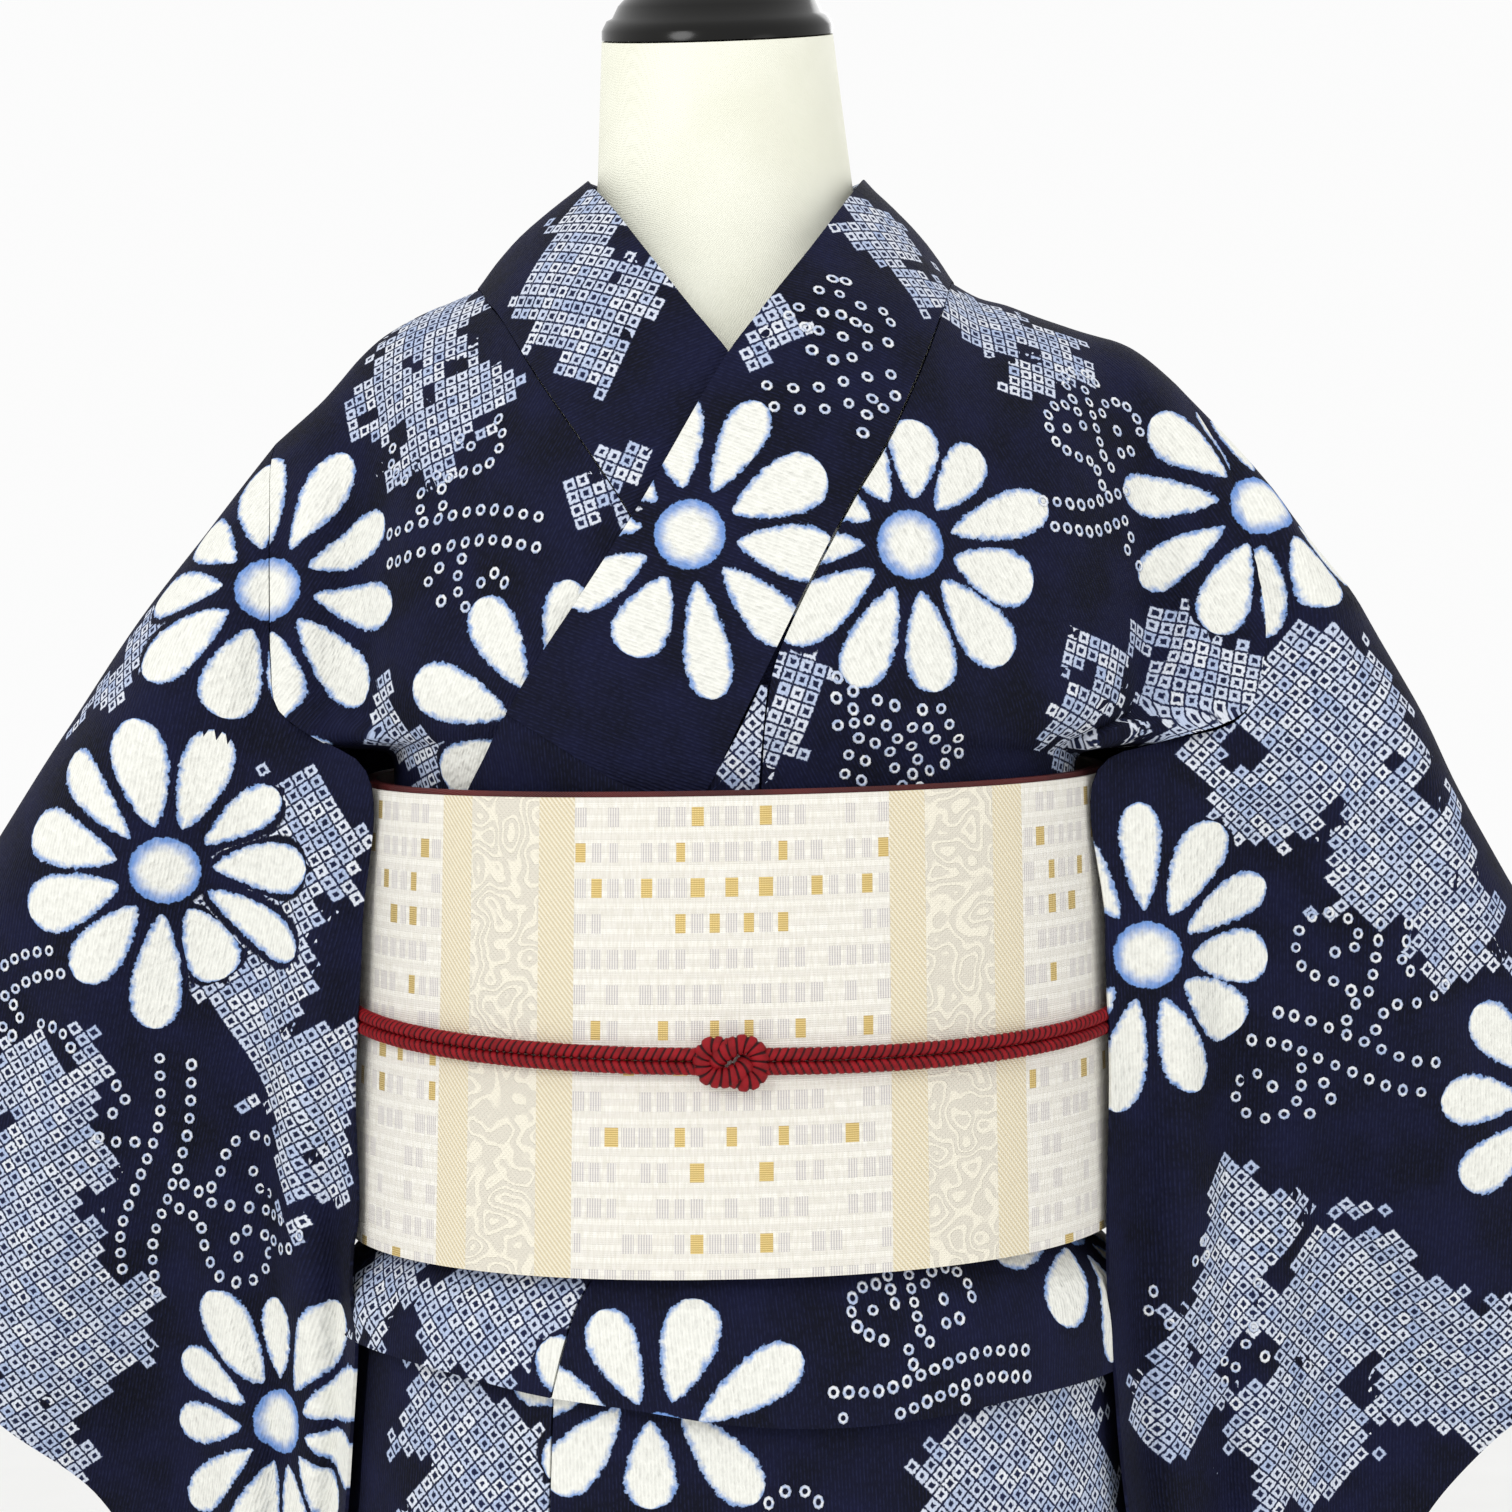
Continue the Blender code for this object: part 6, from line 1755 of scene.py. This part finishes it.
# Vines: lines of small rings with curls. Millimetres on the cloth, along and up
VINE_LINES = (
    ((0, 5), (18, 2), (36, 5), (56, 8), (78, 5)),
    ((2, -5), (20, -8), (38, -5), (58, -2), (78, -5)),
    ((31, 9), (29, 17), (21, 20), (13, 26), (13, 36), (21, 41), (29, 37), (27, 29), (20, 31)),
    ((40, 10), (39, 18), (46, 21), (56, 23), (60, 32), (55, 41), (46, 41), (42, 34), (48, 30)),
    ((29, 43), (30, 52), (38, 56), (46, 52), (45, 45)),
    ((36, 15), (36, 27), (37, 39), (38, 47)),
    ((50, -8), (49, -17), (54, -25), (63, -26), (68, -19), (64, -13), (58, -16)),
    ((42, -11), (38, -18), (44, -22)),
)
RING_SPACING = 5.7
RING_SIZES = ((0.82, 0.90, 0.30), (1.00, 1.16, 0.36))
RING_RADIUS, RING_THICKNESS = 0.0016, 0.0006
# Pieces, start in the photograph's frame, turn in degrees, size, and 1 or -1 for its mirror image
VINES = (
    ("right_bodice", (362, 545), 8, 1.05, 1),
    ("collar_cover", (768, 398), 4, 0.78, 1),
    ("left_bodice", (1045, 515), 5, 0.95, 1),
    ("left_sleeve", (1240, 570), 150, 0.8, 1),
    ("right_sleeve", (70, 960), 200, 0.9, 1),
    ("right_sleeve", (140, 1290), 82, 1.15, -1),
    ("left_sleeve", (1465, 1075), 170, 1.15, -1),
    ("left_bodice", (852, 800), 76, 0.62, -1),
    ("tuck_left_front", (835, 1405), 12, 0.9, 1),
    ("left_sleeve", (1150, 1300), -20, 0.7, 1),
    ("skirt_left_front", (700, 1700), 10, 1.1, 1),
    ("skirt_left_front", (900, 2250), 200, 1.1, 1),
    ("skirt_left_front", (720, 2600), 30, 1.1, -1),
    ("skirt_left_okumi", (440, 1850), 40, 0.9, 1),
)
HIDDEN_VINES = (
    ("left_bodice", 0.66, 0.3, 20, 1.0, 1),
    ("right_bodice", 0.74, 0.6, -10, 1.0, -1),
    ("left_sleeve", 0.2, 0.35, 80, 1.1, 1),
    ("left_sleeve", 0.55, 0.08, 60, 1.0, -1),
    ("right_sleeve", 0.35, 0.38, 95, 1.1, -1),
    ("right_sleeve", 0.8, 0.18, 70, 1.0, 1),
    ("skirt_left_back", 0.3, 0.2, 60, 1.2, 1),
    ("skirt_left_back", 0.75, 0.25, 30, 1.2, -1),
    ("skirt_right_back", 0.28, 0.3, 80, 1.2, 1),
    ("skirt_right_back", 0.5, 0.7, 20, 1.2, -1),
)


def evenly(points, spacing):
    """Points a spacing apart along a smooth line."""
    line = np.array([along(points, k / 80) for k in range(81)])
    length = np.linalg.norm(np.diff(line, axis=0), axis=1).sum()
    count = max(2, round(length / spacing))
    return np.array([along(points, k / count) for k in range(count + 1)])


def vine_places():
    """Flat places of a vine's rings in metres, from its start."""
    return np.concatenate([evenly(line, RING_SPACING) for line in VINE_LINES]) / 1000


VINE_LIFT = 0.00025
# Room between rings, round a flower's centre and inside a cloud's edge; step that finds a direction
RING_ROOM, FLOWER_ROOM, CLOUD_EDGE = 0.0045, 0.051, 0.001
VINE_STEP = 60
OFF_CLOTH = 0.006


def on_cloth(piece, spot):
    """The point, the direction along and the outward normal of the cloth at a flat place."""
    gap = np.linalg.norm(piece.flat - spot, axis=2)
    i, j = np.unravel_index(np.argmin(gap), gap.shape)
    rows, columns = gap.shape
    if gap[i, j] > OFF_CLOTH or not (0 < i < rows - 1 and 0 < j < columns - 1):
        return None
    down = piece.points[i + 1, j] - piece.points[i - 1, j]
    over = piece.points[i, j + 1] - piece.points[i, j - 1]
    down_flat = piece.flat[i + 1, j] - piece.flat[i - 1, j]
    over_flat = piece.flat[i, j + 1] - piece.flat[i, j - 1]
    turn = np.column_stack([down, over]) @ np.linalg.inv(np.column_stack([down_flat, over_flat]))
    point = piece.points[i, j] + turn @ (spot - piece.flat[i, j])
    normal = piece.out[i, j]
    return point + normal * (piece.thickness / 2 + VINE_LIFT), unit(turn[:, 0]), normal


def vine_spots():
    """Every vine ring's point and turn on the cloth."""
    points, turns = [], []
    shape = vine_places()
    starts = []
    for name, start, degrees, size, mirror in VINES:
        piece, turn = sheets[name], math.radians(degrees)
        first = np.array(piece.place(*start))
        step = (VINE_STEP * math.cos(turn), -VINE_STEP * math.sin(turn))
        way = np.array(piece.place(start[0] + step[0], start[1] + step[1])) - first
        starts.append((piece, first, math.degrees(math.atan2(way[1], way[0])), size, mirror))
    for name, down, across, *rest in HIDDEN_VINES:
        starts.append((sheets[name], sheets[name].share(down, across), *rest))
    for piece, start, degrees, size, mirror in starts:
        angle = math.radians(degrees)
        ahead = np.array([math.cos(angle), math.sin(angle)])
        beside = np.array([-ahead[1], ahead[0]]) * mirror
        taken = []
        for x, y in shape * size:
            spot = start + ahead * x + beside * y
            near = [(other, RING_ROOM) for other in taken]
            near += [(flower[:2], FLOWER_ROOM) for flower in piece.flowers]
            near += [(disc[:2], disc[2] - CLOUD_EDGE) for disc in piece.discs]
            if any(np.linalg.norm(spot - np.array(other)) < reach for other, reach in near):
                continue
            found = on_cloth(piece, spot)
            if found is None:
                continue
            taken.append(spot)
            point, along_cloth, normal = found
            beside_cloth = unit(np.cross(normal, along_cloth))
            axes = np.column_stack([np.cross(beside_cloth, normal), beside_cloth, normal])
            points.append(point)
            turns.append(tuple(Matrix(axes.tolist()).to_euler()))
    return points, turns


def ring_tree():
    """Small tied rings set on points, each turned to the cloth there."""
    tree = bpy.data.node_groups.new("tied rings", "GeometryNodeTree")
    for way, name, kind in (
        ("INPUT", "Geometry", "Geometry"),
        ("INPUT", "Ring radius", "Float"),
        ("INPUT", "Ring thickness", "Float"),
        ("INPUT", "Finish", "Material"),
        ("OUTPUT", "Geometry", "Geometry"),
    ):
        tree.interface.new_socket(name, in_out=way, socket_type="NodeSocket" + kind)

    def node(kind, fed, data_type=None):
        """A node's outputs, with its inputs set or linked."""
        made = tree.nodes.new(kind)
        if data_type:
            made.data_type = data_type
        for name, value in fed.items():
            if isinstance(value, bpy.types.NodeSocket):
                tree.links.new(value, made.inputs[name])
            else:
                made.inputs[name].default_value = value
        return made.outputs

    given = node("NodeGroupInput", {})
    circle, vector = "GeometryNodeCurvePrimitiveCircle", "FLOAT_VECTOR"
    line = node(circle, {"Resolution": 8, "Radius": given["Ring radius"]})["Curve"]
    section = node(circle, {"Resolution": 4, "Radius": given["Ring thickness"]})["Curve"]
    tube = node("GeometryNodeCurveToMesh", {"Curve": line, "Profile Curve": section})["Mesh"]
    turn = node("GeometryNodeInputNamedAttribute", {"Name": "turn"}, vector)["Attribute"]
    turn = node("FunctionNodeEulerToRotation", {0: turn})[0]
    sizes = {"Min": RING_SIZES[0], "Max": RING_SIZES[1], "Seed": 4}
    size = node("FunctionNodeRandomValue", sizes, vector)["Value"]
    laid = {"Points": given["Geometry"], "Instance": tube, "Rotation": turn, "Scale": size}
    laid = node("GeometryNodeInstanceOnPoints", laid)["Instances"]
    real = node("GeometryNodeRealizeInstances", {"Geometry": laid})["Geometry"]
    dyed = node("GeometryNodeSetMaterial", {"Geometry": real, "Material": given["Finish"]})["Geometry"]
    node("NodeGroupOutput", {"Geometry": dyed})
    return tree


def make_vines():
    points, turns = vine_spots()
    seeds = bpy.data.meshes.new("vine seeds")
    seeds.from_pydata([tuple(p) for p in points], [], [])
    write_vectors(seeds, "turn", "POINT", turns)
    holder = linked("vine seeds", seeds)
    tree = ring_tree()
    live = holder.modifiers.new("tied rings", "NODES")
    live.node_group = tree
    sizes = {"Ring radius": RING_RADIUS, "Ring thickness": RING_THICKNESS, "Finish": finishes["mark_white"]}
    for socket in tree.interface.items_tree:
        if socket.item_type == "SOCKET" and socket.in_out == "INPUT" and socket.name in sizes:
            live[socket.identifier] = sizes[socket.name]
    holder.update_tag()
    made = holder.evaluated_get(bpy.context.evaluated_depsgraph_get())
    mesh = bpy.data.meshes.new_from_object(made)
    holder.modifiers.clear()
    bpy.data.objects.remove(holder, do_unlink=True)
    mesh.shade_smooth()
    rings = linked("vine_rings", mesh)
    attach(rings, "root")


def make_mark_white():
    w = Wires("tied_mark_white")
    place = w.place()
    tone = w.noise(place, 420.0, 2.0)
    w.bump(w.noise(place, 1500.0, 1.0), 0.0002, 0.6)
    paint = w.mixed(w.ramp(tone, 0.35, 0.65), MARK_BLUE, (236, 238, 240))
    return w.surface(paint=paint, rough=tone * 0.1 + 0.75)


PLAIT_PITCH = 0.0027
PLAIT_DEPTH = 0.24
# The knot's two strands, from its middle: across, how far in front, and up, in millimetres
KNOT_STRANDS = (
    ((1.5, 0.3, 3.4), (-2.6, 0.9, 5.0), (-7.0, 0.4, 5.0), (-9.4, 0.0, 0.6), (-8.0, 0.4, -3.8),
     (-4.2, 1.1, -5.2), (0.6, 1.4, -4.2), (4.2, 0.8, -1.8), (5.6, -1.0, 1.0)),
    ((-5.6, -1.0, -1.2), (-3.6, 0.8, 2.2), (0.2, 1.7, 5.0), (4.4, 1.2, 6.0), (8.2, 0.6, 3.9),
     (9.4, 0.2, 0.0), (8.4, 0.5, -4.4), (5.2, 0.8, -6.3), (1.2, -0.2, -5.2), (-1.6, -1.2, -3.0)),
)
KNOT_STRAND = (0.0031, 0.0023)
KNOT_RINGS = 240


def plaited(path, side, wide, deep, slant):
    """Rings of a round braid along a path, and how far down in a groove each point lies."""
    ahead, way = unit(np.gradient(path, axis=0)), ways(path)
    across = unit(np.cross(ahead, side))
    top = np.cross(across, ahead)
    turns = 2 * math.pi * np.arange(CORD_SIDES) / CORD_SIDES
    groove = (0.5 + 0.5 * np.cos(2 * math.pi * way[:, None] / PLAIT_PITCH - slant(turns)[None, :])) ** 4
    size = (1.09 - PLAIT_DEPTH * groove)[..., None]
    sideways = wide * np.cos(turns)[None, :, None] * across[:, None]
    upward = deep * np.sin(turns)[None, :, None] * top[:, None]
    return path[:, None] + size * (sideways + upward), groove


def make_cord():
    """Two round braids side by side round the belt, and the flat knot in front."""
    for name, rank in (("cord_upper", 1), ("cord_lower", -1)):
        path = np.array([
            (x + WAIST_X, y, cord_height(y) + rank * (CORD_RADIUS + SEAM_GAP / 2))
            for x, y in cord_route(CORD_RINGS)
        ])
        slant = lambda turns: rank * 2.4 * np.sin(turns) * np.sign(np.cos(turns) + 1e-9)
        rings, groove = plaited(path, (0.0, 0.0, 1.0), CORD_RADIUS, CORD_RADIUS, slant)
        piece = add_loft(name, rings, "red_cord")
        # The groove depths go with the braid, for the painted shade in its grooves
        write_vectors(piece.data, "plait", "POINT", np.repeat(groove.reshape(-1, 1), 3, axis=1))
    make_knot()


def make_knot():
    """A flat knot of two braided loops that cross, with a small slit between them."""
    front_y = -(OBI_HALF_DEPTH + SEAM_GAP + KNOT_HALF_DEPTH)
    middle = np.array([KNOT_X + WAIST_X, front_y, cord_height(front_y)])
    points, faces, depths = [], [], []
    for strand in KNOT_STRANDS:
        path = np.array([along(strand, k / (KNOT_RINGS - 1)) for k in range(KNOT_RINGS)]) / 1000
        path = middle + path * np.array([1.0, -1.0, 1.0])
        rings, groove = plaited(path, (0.0, 1.0, 0.0), *KNOT_STRAND, lambda turns: 1.5 * np.cos(turns))
        faces += tube_faces(len(points) * CORD_SIDES * KNOT_RINGS, KNOT_RINGS, CORD_SIDES)
        points.append(rings.reshape(-1, 3))
        depths.append(groove.reshape(-1, 1))
    piece = add_solid("cord_knot", np.concatenate(points), faces, "red_cord")
    # The groove depths go with the knot, for the painted shade in its grooves
    write_vectors(piece.data, "plait", "POINT", np.repeat(np.concatenate(depths), 3, axis=1))


def area_light(name, place, target, size, power):
    lamp = bpy.data.lights.new(name, "AREA")
    lamp.shape, lamp.size, lamp.energy = "DISK", size, power
    holder = linked(name, lamp)
    holder.location = place
    holder.rotation_euler = (Vector(target) - Vector(place)).to_track_quat("-Z", "Y").to_euler()


def make_stage():
    """Plain pale floor, soft light and the camera where the photograph was taken from."""
    w = Wires("pale_floor")
    place = w.place()
    w.surface(paint=w.mixed(w.noise(place, 3.0, 3.0), (238, 238, 236), (248, 248, 247)), rough=0.7)
    mesh = bpy.data.meshes.new("floor")
    mesh.from_pydata([(-6, -4, 0), (6, -4, 0), (6, 6, 0), (-6, 6, 0)], [], [(0, 1, 2, 3)])
    mesh.materials.append(w.finish)
    linked("floor", mesh)
    world = bpy.data.worlds.new("studio")
    world.use_nodes = True
    world.node_tree.nodes["Background"].inputs["Color"].default_value = (1.0, 1.0, 1.0, 1.0)
    world.node_tree.nodes["Background"].inputs["Strength"].default_value = 0.97
    bpy.context.scene.world = world
    area_light("key", (-1.3, -1.9, 2.5), (0.0, 0.0, 1.1), 0.9, 15)
    area_light("fill", (1.7, -1.7, 1.7), (0.0, 0.0, 1.0), 1.2, 3)
    area_light("back", (0.6, 1.9, 2.4), (0.0, 0.0, 1.1), 1.2, 6)
    eye = bpy.data.cameras.new("camera")
    eye.sensor_width = 36.0
    eye.lens = 36.0 * VIEW_FOCAL / 1512
    eye.clip_start = 0.05
    holder = linked("camera", eye)
    holder.location = (VIEW_X, VIEW_Y, VIEW_Z)
    holder.rotation_euler = (math.pi / 2, 0.0, 0.0)
    bpy.context.scene.camera = holder
    bpy.context.scene.view_settings.view_transform = "Standard"


HELD = {
    "left_bodice": ("draped", "dress_form"),
    "right_bodice": ("draped", "dress_form"),
    "left_okumi_tip": ("draped", "dress_form"),
    "left_sleeve": ("hung", "left_bodice_cloth"),
    "right_sleeve": ("hung", "right_bodice_cloth"),
    "obi_outer_turn": ("stretched", "dress_form"),
    "obi_under_turn": ("stretched", "dress_form"),
    "obi_tail": ("hung", "dress_form"),
}
BELT_FINISH = {"obi_under_turn": "red_silk"}

finishes = {
    "navy_cotton": make_navy_cotton(),
    "white_silk": make_white_silk(),
    "red_silk": make_plain_weave("red_lining_silk", (70, 16, 18), (104, 30, 30), 0.0007, 0.5, 0.0002),
    "red_cord": make_braid_red(),
    "cream_form": make_plain_weave(
        "cream_form_jersey", (240, 240, 222), (247, 247, 231), 0.0009, 0.62, 0.00012
    ),
    "black_gloss": make_hard("black_lacquer", (5, 5, 4), (12, 11, 9), 0.13, 9.0, 0.00004, 0.25),
    "black_metal": make_hard("black_powder_coat", (18, 18, 18), (30, 30, 31), 0.42, 30.0, 0.00010, 0.4),
    "mark_white": make_mark_white(),
}


def main():
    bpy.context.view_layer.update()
    make_stage()
    make_stand()
    make_form()
    make_cap()
    for side in (1, -1):
        bodice = make_bodice_half(side)
        make_sleeve(side, bodice)
    make_okumi_tip()
    make_collar()
    make_skirt()
    make_tuck()
    make_obi()
    make_drum()
    make_cord()
    print_motifs()
    for name, piece in sheets.items():
        finish = BELT_FINISH.get(name, "white_silk" if name.startswith("obi") else "navy_cotton")
        default = ("hung", "dress_form") if "skirt" in name else ("folded", "dress_form")
        held, rests_on = HELD.get(name, default)
        finish_sheet(piece, finish, (rests_on,) if rests_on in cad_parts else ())
    make_vines()


main()
